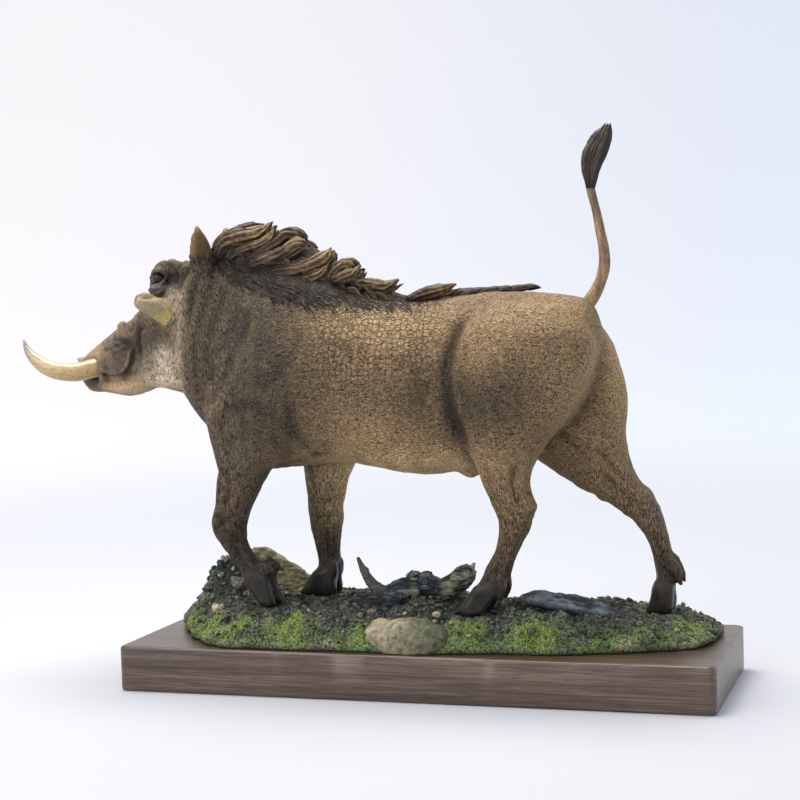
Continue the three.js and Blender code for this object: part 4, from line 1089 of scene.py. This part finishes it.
hide_normals = outward(hide_points, hide_quads)
smoother = relax(hide_points, hide_edges, 6)
fine_height = ((hide_points - smoother) * hide_normals).sum(1)
broad_height = ((hide_points - relax(smoother, hide_edges, 42)) * hide_normals).sum(1)
# Masks of creases and ridges: the dark wash in the creases is also painted shade, the pale drybrush on the ridges a
# painted highlight.
crease_wash_and_shade = held(-fine_height / 0.22) * 0.55 + held(-broad_height / 1.1) * 0.55
ridge_drybrush_and_highlight = held(fine_height / 0.2) * 0.5 + held(broad_height / 1.4) * 0.25


def bell(middle, radii):
    """A soft spot of the hide round a middle, on both sides of the animal: 1 inside and 0 outside."""
    apart = ((np.column_stack([x, np.abs(y), z]) - middle) / radii) ** 2
    return np.exp(-apart.sum(1) ** 1.3)


def spots(brushes):
    """Layers for washed() from rows of a colour, its strength, and the middle and radii of its spot."""
    return [(colour, strength * bell(middle, radii)) for colour, strength, middle, radii in brushes]


golden = [0.310, 0.207, 0.110]
grey_brown = [0.062, 0.049, 0.036]
umber = [0.034, 0.026, 0.019]
ink = [0.014, 0.013, 0.013]
straw = [0.460, 0.335, 0.170]
cream = [0.620, 0.510, 0.370]
blush = [0.500, 0.310, 0.170]
x, y, z = hide_points.T
front = held((-18 - x) / 42)
belly = held((70 - z + 0.06 * x) / 12) * held((x + 62) / 20) * held((30 - x) / 14)
body_brushes = [
    (golden, 0.75, (-8, 27, 118), (30, 30, 10)), (straw, 0.30, (-10, 27, 118), (24, 20, 8)),
    (grey_brown, 0.45, (-8, 28, 88), (26, 20, 9)), (golden, 0.7, (58, 20, 122), (22, 30, 8)),
    (grey_brown, 0.75, (34, 26, 86), (18, 14, 14)), (grey_brown, 0.5, (52, 24, 96), (14, 12, 12)),
    (golden, 0.6, (30, 26, 106), (10, 14, 10)), (straw, 0.4, (-18, 24, 66), (36, 22, 8)),
    (golden, 0.5, (70, 14, 92), (8, 14, 14)), (grey_brown, 0.6, (-70, 24, 96), (18, 12, 16)),
    (umber, 0.5, (-64, 24, 78), (14, 12, 12)), (blush, 0.18, (-88, 22, 86), (6, 12, 10)),
    (umber, 0.65, (20, 27, 100), (4.4, 14, 20)),
    (umber, 0.62, (38, 24, 84), (20, 16, 17)), (umber, 0.6, (19, 24, 76), (7, 14, 14)),
    (golden, 0.95, (80, 14, 94), (9, 14, 26)), (straw, 0.55, (80, 14, 96), (6, 12, 20)),
    (golden, 0.55, (66, 20, 84), (7, 12, 14)), (umber, 0.55, (8, 27, 92), (10, 14, 16)),
    (umber, 0.6, (17, 0, 56), (5, 6, 5)), (umber, 0.14, (30, 8, 128), (70, 16, 9)),
    (umber, 0.16, (44, 26, 92), (26, 14, 20)), (umber, 0.30, (-84, 20, 118), (14, 14, 26)),
]
rust = [0.300, 0.165, 0.080]
joint_brushes = [
    (rust, 0.45, (-79, 19, 49), (4, 9, 9)), (rust, 0.45, (-58, 20, 60), (4, 9, 8)),
    (rust, 0.45, (48, 19, 50), (4, 9, 6)),
]
foot_brushes = [
    (ink, 0.80, (-52, 18, 20), (8, 12, 17)), ([0.095, 0.098, 0.100], 0.5, (93, 18, 38), (7, 8, 10)),
    (golden, 0.4, (73, 18, 60), (10, 9, 12)),
]
spine = held((z - 122) / 8) * held(1 - np.abs(y) / 9) * held((40 - x) / 30) * (1 - head_share)
fringe_edge = np.array([
    [-92, 143], [-87.5, 141], [-76, 135], [-63, 130], [-49.5, 127.4], [-36, 125.8], [-23, 125.3], [-6, 125], [8, 128]
])
# Painted shade: the skin under the locks of the mane goes near black.
mane_bed_shade = held((z - np.interp(x, *fringe_edge.T)) / 5) * held((12 - x) / 6) * (1 - head_share)
shin = held((62 - z) / 30) * (1 - head_share)
horn = [
    held((sole + 12 - z) / 3) * (np.abs(x - foot_x) < 26) * (np.abs(y - foot_y) < 12)
    for foot_x, foot_y, _, _, sole in feet.values()
]
hide_colour = washed(
    hide_points, golden, (grey_brown, 0.42 * held(0.6 + 0.5 * rough(hide_points, 14, 111))),
    (grey_brown, 0.92 * front * (1 - 0.75 * belly)), *spots(body_brushes),
    ([0.640, 0.480, 0.250], 0.92 * belly * held(0.7 + 0.6 * rough(hide_points, 6, 112))),
    (umber, 0.8 * spine), (ink, 0.88 * mane_bed_shade), (umber, 0.62 * shin), *spots(joint_brushes),
    (ink, 0.86 * held((30 - z) / 18) * (1 - head_share)), *spots(foot_brushes),
    *[([0.005, 0.007, 0.009], 0.95 * hoof) for hoof in horn],
)

face_brushes = [
    (cream, 0.85, (-112, 14, 103), (11, 10, 9)), (cream, 0.85, (-116, 12, 95), (12, 12, 5)),
    (cream, 0.40, (-105, 16, 131), (6, 8, 8)), (cream, 0.25, (-103, 16, 118), (5, 9, 12)),
    (umber, 0.62, (-116, 14, 116), (8, 9, 6)), (umber, 0.5, (-119, 12, 108), (4, 9, 8)),
    (blush, 0.95, (-135, 8, 93.4), (13, 9, 4.6)), (cream, 0.45, (-132, 10, 91.5), (9, 8, 2.6)),
    (blush, 0.6, (-147, 11, 109.5), (7, 6, 4)), (straw, 0.45, (-145, 13, 107), (3.5, 4, 5)),
    (umber, 0.8, (-137, 11, 108), (8, 7, 4.4)), (ink, 0.92, (-134, 12, 111.4), (9, 7, 3.6)),
    (blush, 0.35, (-139.5, 12, 106.5), (3, 6, 3)), (umber, 0.6, (-132, 12, 99.6), (7, 7, 1.6)),
    (umber, 0.9, (-125, 12, 113), (4.0, 8, 10)), (ink, 0.55, (-125, 13, 113), (2.6, 8, 8)),
    (blush, 0.5, (-134, 9, 117.8), (3.4, 5, 2.6)), (umber, 0.6, (-124, 4, 128), (7, 10, 5)),
    (umber, 0.9, (-110, 9, 146), (9, 10, 4)), (umber, 0.7, (-104, 14, 138), (4, 6, 5)),
    (ink, 0.75, (-150, 7, 96.4), (6.5, 9, 3.6)), (umber, 0.6, (-154.5, 0, 100), (3, 12, 7)),
    (ink, 0.8, (-143, 11.4, 99.4), (2.2, 4, 1.8)),
]
# Dark paint round the eyes; the bluish grey crescent on each lower lid is a painted highlight.
eye_brushes = [
    (ink, 0.97, (-113.0, 14.5, 140), (9.5, 6, 7)), (ink, 0.9, (-117, 13, 135), (4.6, 6, 2.8)),
    (umber, 0.6, (-112.5, 13, 146), (4, 5, 1.6)), ([0.26, 0.26, 0.29], 0.8, (-115.2, 15.5, 136.4), (3.4, 3, 0.8)),
    ([0.16, 0.13, 0.12], 0.7, (-113.4, 15.4, 143.9), (3.4, 3, 0.8)),
]
wart_line = [[-107, 122.5], [-110.6, 125.4], [-114.6, 128.4], [-120.4, 131.6]]
wart = stroke(hide_points, wart_line, 4.8, 0) * held((np.abs(y) - 13.5) / 3) * held((134.4 - z) / 2)
wart = held(1.6 * wart)
face_colour = washed(
    hide_points, hide_colour, ([0.160, 0.122, 0.090], head_share * 0.8), *spots(face_brushes),
    ([0.430, 0.330, 0.175], wart * 0.92), ([0.540, 0.400, 0.120], wart * bell((-110.5, 15, 122.5), (5, 9, 3.4)) * 0.8),
    ([0.270, 0.240, 0.150], wart * held((np.abs(y) - 20.5) / 3) * 0.8), *spots(eye_brushes),
)
ear_share = held((z - 147) / 4) * held((-x - 88.5) / 1.5) * held((np.abs(y) - 8) / 2)
ear_tone = washed(
    hide_points, [0.400, 0.225, 0.100], ([0.075, 0.040, 0.012], held((x + 99.6) / 6)),
    ([0.360, 0.235, 0.150], 0.7 * held((z - 158) / 4)),
)
# Then the face, the ear, the crease wash and ridge drybrush (painted shade and painted highlight too), and the
# nostrils.
hide_colour = washed(
    hide_points, tint(hide_colour, face_colour, head_share), (ear_tone, 0.9 * ear_share), (ink, 0.62 * held(crease_wash_and_shade)),
    (straw, 0.22 * held(ridge_drybrush_and_highlight) * (1 - 0.7 * shin)), (ink, 0.9 * nostril),
)

gloss = held((20 - z) / 10) * (1 - head_share)
gloss = np.maximum(gloss, bell((-150, 7, 96.4), (6, 9, 3.4)))
eye_spot = bell((-114.5, 14.5, 139.6), (6, 5, 6))
gloss = np.maximum(gloss, eye_spot)
near_foot = [np.hypot(x - foot_x, y - foot_y) < length + 16 for foot_x, foot_y, length, _, _ in feet.values()]
sole_level = np.select(near_foot, [sole for *_, sole in feet.values()], 0.0)
bare_foot = held((sole_level + 14 - z) / 4) * (1 - head_share)
furred = 1 - np.maximum(head_share * (0.35 + 0.4 * held((-120 - x) / 8)), bare_foot)
furred *= (1 - 0.85 * wart * head_share) * (1 - 0.7 * eye_spot) * (1 - 0.92 * ear_share)
checked = held((x + 50) / 16) * held((18 - x) / 10) * held((z - 84) / 18)
upright = np.maximum(held((66 - z) / 16), held((-62 - x) / 16))

hide = Paint("painted_hide", 0.62, Specular_IOR_Level=0.22)
patch = hide.noise(9.0, detail=3.0)
hairs = hide.noise(0.48, (0.42, 1, 0.95), 2.0, 0.55, 1.5)
shin_hairs = hide.noise(0.48, (1, 1, 0.26), 3.0, 0.6, 0.5)
fur_mark, check_mark, leg_mark = (
    hide.node("ShaderNodeSeparateXYZ", None, {0: hide.brushed("marks", 1)}, i) for i in range(3)
)
gloss_mark = hide.node("ShaderNodeSeparateXYZ", None, {0: hide.brushed("sheen", 1)})
fur = hide.node("ShaderNodeMix", {"data_type": "FLOAT"}, {0: leg_mark, 2: hairs, 3: shin_hairs})
furrow = 1 - hide.cells(2.4, (1.0, 0.6, 0.95), jitter=0.55).rise(0.01, 0.16)
furrow = furrow * (0.16 + 0.74 * check_mark) * fur_mark
height = 0.62 * fur * fur_mark - 0.5 * furrow
painted = hide.drybrush(0.20 + 0.78 * fur_mark, fur, [
    (0.38, (0.05, 0.047, 0.044)), (0.46, (0.33, 0.325, 0.32)), (0.54, (0.58, 0.57, 0.55)), (0.63, (0.95, 0.92, 0.86)),
])
painted = hide.blend(furrow * 0.62, painted, (0.020, 0.016, 0.012))
hide_paint = hide.finish(painted, 0.62 + 0.12 * patch - 0.40 * gloss_mark, height, 0.7, 0.9)
glued = [0, 0, stand + 0.1]  # what lifts the figure onto the ground, with a glue line of 0.1 mm under its hooves
piece_of(
    "warthog_hide", hide_points + glued, hide_quads.tolist(), hide_paint, "painted_hide", "warthog",
    colours=hide_colour, marks=np.column_stack([furred, checked, upright]), sheen=np.tile(gloss[:, None], (1, 3)),
)
skin_tree = BVHTree.FromPolygons(hide_points.tolist(), hide_quads.tolist())


# Eyes: a ball on each side between the lids, cast with the body, painted black brown and varnished glossy.
# Only its front shows in the slit.
eye_unit, eye_faces = ball(24, 12)
eyes = [(eye_unit * 3.1 + [-114.7, side * 12.7, 140.1 + stand], eye_faces) for side in (-1, 1)]
glossy = Paint("eye_gloss", 0.12, Specular_IOR_Level=0.35)
gloss_mottle = glossy.noise(1.2)
eye_paint = glossy.finish(glossy.ramp(gloss_mottle, [(0.4, (0.006, 0.006, 0.007)), (0.65, (0.030, 0.022, 0.018))]))
piece_of("warthog_eyes", *gather(eyes), eye_paint, "painted_hide", "warthog")


# Mane: fat S-shaped locks with fine grooves, cast with the body, dark brown with yellow ochre on their tips and
# along their upper edges, where it is also a painted highlight, above a fringe of short black hair. Thinner hair
# runs on along the spine.

# Each big lock: its path and its breadth
big_locks = [
    ([[-92, -2, 148], [-89.6, -2, 154.6], [-83.4, -1, 158], [-76, 0, 160.4], [-70.5, 0, 161.6]], 5),
    ([[-89, -9, 148], [-85, -9, 154], [-77, -9, 156.5], [-70, -8, 157.5], [-64, -7, 161.8]], 6),
    ([[-81, -12, 148], [-74, -12, 151.5], [-67, -11, 153.5], [-63, -10, 156.5], [-61.8, -10, 160.6]], 3.4),
    ([[-74, -11, 146], [-67, -10, 150], [-61, -8, 154], [-57, -6, 157], [-52, -5, 156], [-49.5, -4, 152.4]], 5.4),
    ([[-72, -13, 144], [-63, -12.5, 147], [-57, -12, 149], [-51, -11, 152.6], [-46.5, -10, 151.6]], 5),
    ([[-62, -13, 141], [-51, -12, 142], [-45, -10, 144], [-40, -8, 147], [-38, -7, 150.4]], 5.4),
    ([[-57, -13, 138], [-47, -12, 138], [-41, -11, 140], [-38, -10, 144]], 4),
    ([[-38, -10, 136.4], [-35.4, -8, 140.6], [-31.6, -7, 143.4], [-28.4, -6, 142.8], [-27.2, -5, 139.6]], 4.6),
    ([[-36, -12, 136.4], [-31, -11, 138.4], [-28, -9, 139.6], [-25, -8, 142.4]], 4.2),
    ([[-29, -8, 136], [-22, -7, 135], [-15, -6, 133.6], [-9, -4, 136.6]], 4.6),
    ([[-5, -6, 127.6], [2, -5, 130.6], [9, -4, 131.8], [15.5, -3, 134]], 4),
]
lock_swell = np.array([0.8, 1, 1.05, 1, 0.85, 0.6])  # thickness at the points of a path before its tip


def lock(path, breadth, flutes, seed, ochre_and_highlight=0.5, steps=26, sides=32):
    """A grooved rod of that many steps and sides which tapers to a thin tip, and its colours: a dark root, a brown
    body, and ochre on its tip and along one edge, the upper one on a lock of the mane, where it is also a painted
    highlight, as strong as ochre_and_highlight."""
    random = np.random.default_rng(seed)
    phase = random.uniform(-0.7, 0.7)
    swell = np.append(lock_swell[:len(path) - 1], 0.14)
    rows = np.column_stack([path, breadth / 2 * swell, breadth / 2 * 1.15 * swell])
    points, faces = rod(rows, steps, sides, flutes, 0.22, random.uniform(-0.9, 0.9))
    points = points + (0.09 * breadth) * rough(points * [0.35, 1.2, 1.2], 0.9, seed)[:, None]
    share = np.repeat(np.linspace(0, 1, steps + 1), sides)
    turned = np.tile(2 * np.pi * np.arange(sides) / sides, steps + 1)
    middle = points.reshape(steps + 1, sides, 3).mean(1)
    away = np.linalg.norm(points - np.repeat(middle, sides, 0), axis=1)
    widest = np.repeat(np.linalg.norm(points.reshape(steps + 1, sides, 3) - middle[:, None], axis=2).max(1), sides)
    crown = held((away / np.maximum(widest, 1e-6) - 0.74) / 0.26)
    # Ochre on the tip and along one edge; along the edge it is also a painted highlight.
    bright = held(0.9 * share ** 1.5 + 0.8 * np.maximum(0, np.cos(turned + phase)) ** 3) * crown
    return points, faces, washed(
        points, [0.022, 0.015, 0.010], (np.array([0.150, 0.088, 0.056]) * random.uniform(0.6, 1.3), crown * 0.9),
        ([0.470, 0.330, 0.120], held(bright * ochre_and_highlight)), ([0.012, 0.010, 0.008], held(1 - share / 0.22) * 0.85),
    )


locks = []

# The ochre and painted highlight of each big lock, and for the near and the far side: the locks, how they are
# mirrored and moved, their fullness, the shift and fullness of the thinner lock beside each, and the first seed
ochre_and_highlights = (0.35, 0.95, 0.5, 0.3, 0.6, 0.9, 0.7, 0.4, 0.95, 0.45, 0.5)
mane_sides = [
    (big_locks, [1, 1, 1], [0, 0, 0], 1.22, [1.5, 0.8, -1.8], 0.62, 200),
    (big_locks[1:], [1, -0.85, 1], [-3, 0, -0.6], 1.15, [1.5, -0.8, -1.6], 0.55, 240),
]
for rows, flip, shift, fuller, aside, slimmer, seed in mane_sides:
    for number, (path, breadth) in enumerate(rows):
        middle = np.array(path) * flip + shift
        locks.append(lock(middle, breadth * fuller, 8, seed + number, ochre_and_highlights[number]))
        locks.append(lock(middle + aside, breadth * slimmer, 5, seed + 20 + number, 0.25, 14, 15))

# Thin locks that fill the flanks of the mane, right and left in turn, and then those along the spine
thin_count, spine_count = 80, 30
crest_top = np.array([
    [-90, 152], [-82, 156.5], [-70, 158], [-58, 154.5], [-46, 149], [-34, 142], [-22, 136], [-10, 131], [4, 130],
])
random = np.random.default_rng(280)
for number in range(thin_count):
    side = -1 if number % 2 else 1
    start = random.uniform(-88, -4)
    top = np.interp(start, crest_top[:, 0], crest_top[:, 1])
    drop = random.uniform(9, 17) * np.interp(start, [-90, -40, 0], [1, 0.8, 0.35])
    reach = random.uniform(11, 17)
    width_here = np.interp(start, [-90, -60, -30, 0], [9, 12.4, 10, 5.5])
    edge = side * width_here * min(1, 0.55 + 0.05 * drop)
    later = np.interp(start + reach, crest_top[:, 0], crest_top[:, 1])
    rise = random.uniform(-0.6, 1.2)
    path = [
        [start, edge, top - drop], [start + 0.30 * reach, edge * 1.05, top - drop * 0.8 + rise * 0.4],
        [start + 0.62 * reach, edge * 0.95, later - drop * 0.75 + rise],
        [start + reach, edge * 0.85, later - drop * 0.75 + random.uniform(-1, 1)],
    ]
    locks.append(lock(path, random.uniform(1.2, 2.3), 4, 300 + number, random.uniform(0, 0.25), 14, 16))
for number in range(spine_count):
    start = 4 + 1.15 * number
    lift = 0.5 * start / 14
    across = random.uniform(-2.8, 2.8)
    path = [
        [start, across, 127.6 + lift], [start + 4, across * 0.9, 129.8 + lift],
        [start + 8.5, across * 0.8, 130.5 + lift],
        [start + 13, across * 0.7, 130.2 + lift + random.uniform(-0.3, 0.9)],
    ]
    shape, faces, colour = lock(path, random.uniform(1.8, 3.0), 4, 400 + number, 0.2, 14, 16)
    locks.append((shape, faces, colour * [0.55, 0.62, 0.75]))
mane_points, mane_faces, mane_colour = gather(locks)
mane = Paint("painted_mane", 0.5, Specular_IOR_Level=0.25)
strand = mane.noise(0.5, (0.22, 1, 1), 3.0, 0.6)
mane_tone = mane.drybrush(0.7, strand, [
    (0.38, (0.10, 0.095, 0.09)), (0.5, (0.5, 0.5, 0.49)), (0.62, (0.90, 0.88, 0.80)),
])
mane_paint = mane.finish(mane_tone, None, strand, 0.35, 0.7)
piece_of(
    "warthog_mane", mane_points + glued, mane_faces, mane_paint, "painted_hide", "warthog", colours=mane_colour
)


# Short hair: the black fringe under the locks of the mane, and fine tan hair along the jaw. Each hair is a
# thin cone that lies on the skin, cast and painted with the body.
def hairs_on_skin(spots, lean, length, thick, colour, seed, lift=0.12):
    """Curved three-sided cones: each starts on the skin beside its spot and leans along the given way, with
    its middle and tip kept just over the skin."""
    random = np.random.default_rng(seed)
    points, faces, colours = [], [], []
    for px, pz, side in spots:
        direction = np.array([lean[0], 0, lean[1]]) + random.normal(0, 0.22, 3) * [1, 0, 1]
        direction /= np.linalg.norm(direction)
        span = length * random.uniform(0.65, 1.25)
        ring = []
        for share in (0, 0.35, 0.7, 1):
            place = np.array([px, 0, pz]) + direction * span * share
            hit = skin_tree.ray_cast(Vector((place[0], side * 60, place[2])), Vector((0, -side, 0)))
            if hit[0] is None:
                break
            away = np.array(hit[1]) * np.sign(hit[1][1] * side)
            ring.append(np.array(hit[0]) + away * lift * (1 + 3 * share * share))
        if len(ring) < 4:
            continue
        base = len(points) * 12
        radius = thick * random.uniform(0.7, 1.2) * np.array([0.8, 1, 0.7, 0.1])
        angle = np.array([0, 2.1, 4.2])
        across = np.cross(direction, [0, 1, 0])
        points.append(np.vstack([
            middle + r * (np.cos(angle)[:, None] * across + np.sin(angle)[:, None] * np.array([0, 1, 0]))
            for middle, r in zip(ring, radius)
        ]))
        for level in range(3):
            for k in range(3):
                a, b = base + 3 * level + k, base + 3 * level + (k + 1) % 3
                faces.append([a, b, b + 3, a + 3])
        faces += [[base + 2, base + 1, base], [base + 9, base + 10, base + 11]]
        colours.append(np.tile(np.asarray(colour) * random.choice([0.35, 0.6, 1.0, 2.4]), (12, 1)))
    return np.vstack(points), faces, np.vstack(colours)


fringe_count, jaw_count = 680, 110
random = np.random.default_rng(500)
fringe_run = random.uniform(-90, 8, fringe_count)
fringe_level = np.interp(fringe_run, *fringe_edge.T) + random.uniform(1.5, 9.5, fringe_count) * np.interp(
    fringe_run, [-92, -40, 0], [1, 0.8, 0.4]
)
fringe_spots = list(zip(fringe_run, fringe_level, np.tile([-1, 1], fringe_count // 2)))
jaw_spots = [
    (random.uniform(-124, -103), random.uniform(93, 106), side) for side in np.tile([-1, 1], jaw_count // 2)
]
hair_parts = [
    hairs_on_skin(fringe_spots, (0.80, -0.55), 7.0, 0.27, (0.022, 0.017, 0.012), 501),
    hairs_on_skin(jaw_spots, (0.95, -0.15), 3.8, 0.12, (0.26, 0.21, 0.14), 502, 0.04),
]
hair_points, hair_faces, hair_colour = gather(hair_parts)
piece_of(
    "warthog_hair", hair_points + glued, hair_faces, mane_paint, "painted_hide", "warthog", colours=hair_colour
)


# ---- Tusks ----------------------------------------------------------------------------------------------
# Two curved cones of ivory-coloured resin, pushed into sockets of the upper lip and glued: ochre at the
# root, cream in the middle and grey white at the worn tip, with fine cracks along them, satin varnished.
tusk_path = [
    [-141, 9, 102.8, 0.86], [-146.5, 13, 102, 1], [-153.5, 16.5, 100.4, 0.98], [-161, 19, 101, 0.94],
    [-167, 20.3, 103.2, 0.82], [-172, 20.8, 107, 0.62], [-175.2, 20.6, 110.8, 0.38], [-177.2, 20, 115.2, 0.07],
]
tusk_radius = 4.1
tusk_steps, tusk_sides = 90, 40


def tusk(side, share, rise):
    """A round horn along its path, whose length is a share of the near one's and whose upward curve is a
    share of that again. The last rings close in to a blunt tip."""
    root = np.array(tusk_path[0][:3])
    rows = []
    for px, py, pz, fullness in tusk_path:
        rows.append([
            root[0] + (px - root[0]) * share, side * (root[1] + (py - root[1]) * share),
            root[2] + (pz - root[2]) * share * rise, tusk_radius * fullness,
        ])
    points, faces = rod(rows, tusk_steps, tusk_sides)
    run = np.repeat(np.linspace(0, 1, tusk_steps + 1), tusk_sides)
    middle = points.reshape(tusk_steps + 1, tusk_sides, 3).mean(1)
    # Painted shade: the underside is darker and browner towards the root.
    under = held((np.repeat(middle[:, 2], tusk_sides) - points[:, 2]) / tusk_radius)
    return points + glued, faces, washed(
        points, [0.360, 0.230, 0.085], ([0.510, 0.370, 0.180], held(run / 0.5)),
        ([0.230, 0.235, 0.230], held((run - 0.62) / 0.3)), ([0.250, 0.155, 0.060], 0.6 * under * (1 - run)),
        ([0.100, 0.060, 0.030], held(1 - (run - 0.06) / 0.10) * 0.7),
    )


ivory = Paint("painted_ivory", 0.3, Coat_Weight=0.35, Coat_Roughness=0.2)
cracks = ivory.noise(0.5, (0.1, 0.8, 0.8), 3.0, 0.6)
ivory_tone = ivory.drybrush(0.8, cracks, [
    (0.34, (0.30, 0.27, 0.22)), (0.46, (0.50, 0.50, 0.50)), (0.66, (0.60, 0.60, 0.58)),
])
ivory_paint = ivory.finish(ivory_tone, 0.22 + 0.2 * cracks, cracks, 0.12, 0.4)
for name, side, share, rise in (("tusk_left", -1, 1, 1), ("tusk_right", 1, 0.84, 0.2)):
    tusk_points, tusk_faces, tusk_colour = tusk(side, share, rise)
    piece_of(f"{name}_ivory", tusk_points, tusk_faces, ivory_paint, "painted_ivory", name, colours=tusk_colour)


# ---- Tail -----------------------------------------------------------------------------------------------
# A thin whip of resin on a wire-thin root, glued in the rump and held upright, tan brown, which ends in a
# tuft of twisted black-brown wisps.
tail_path = [
    [64.5, 0, 119, 3.0], [70.7, 0, 125.6, 2.88], [74.6, 0, 132, 2.45], [76.8, 0, 139, 2.4], [76.9, 0, 146, 2.2],
    [75.7, 0, 153, 2.0], [74.1, 0, 161.5, 1.82], [72.1, 0, 170, 1.73], [71.6, 0, 176, 1.9],
]
whip_steps, whip_sides = 90, 30
whip_points, whip_faces = rod(tail_path, whip_steps, whip_sides)
whip_run = np.repeat(np.linspace(0, 1, whip_steps + 1), whip_sides)
wave = rough(whip_points * [1, 1, 0.25], 1.3, 601)
whip_points = whip_points + 0.1 * wave[:, None]
whip_colour = washed(
    whip_points, [0.330, 0.205, 0.100], ([0.130, 0.085, 0.055], held(0.4 + 0.7 * wave)),
    ([0.070, 0.050, 0.038], held((whip_run - 0.72) / 0.28) * 0.75),
)
tuft_core, tuft_core_faces = rod([
    [71.8, 0, 171, 1.5], [72, 0, 178, 3.0], [74, 0, 185, 4.6], [77, 0, 191, 4.2], [80, 0, 196.2, 0.7],
], 40, 60, 15, 0.25, 1.2)
tail_parts = [
    (whip_points, whip_faces, whip_colour), (tuft_core, tuft_core_faces, washed(tuft_core, [0.030, 0.024, 0.020]))
]
wisp_count = 22
random = np.random.default_rng(620)
for number in range(wisp_count):
    turn = 2 * np.pi * (number + random.uniform(-0.3, 0.3)) / wisp_count
    reach = random.uniform(0.75, 1.0)
    away = np.array([math.cos(turn), math.sin(turn)])
    path = [
        [71.8 + 1.3 * away[0], 1.3 * away[1], 170.5 + random.uniform(0, 3)],
        [72.2 + 3.0 * away[0], 3.0 * away[1], 178.5],
        [74.2 + 4.4 * away[0], 4.2 * away[1], 185.5],
        [77.2 + 3.4 * away[0] * reach, 3.2 * away[1] * reach, 191.5],
        [79.6 + 1.2 * away[0], 1.3 * away[1], 194 + 2.8 * reach],
    ]
    shape, faces, colour = lock(path, random.uniform(1.3, 2.1), 5, 640 + number, 0.5, 18, 20)
    tail_parts.append((shape, faces, colour * random.choice([0.22, 0.5]) * [1, 1.05, 1.15]))
tail_points, tail_faces, tail_colour = gather(tail_parts)
tail = Paint("painted_tail", 0.6)
tail_strand = tail.noise(0.45, (1, 1, 0.2), 3.0, 0.6)
tail_tone = tail.drybrush(0.7, tail_strand, [
    (0.36, (0.2, 0.19, 0.18)), (0.5, (0.5, 0.5, 0.5)), (0.66, (0.8, 0.78, 0.74)),
])
tail_paint = tail.finish(tail_tone, None, tail_strand, 0.3, 0.7)
piece_of("tail_whip", tail_points + glued, tail_faces, tail_paint, "painted_tail", "tail", colours=tail_colour)
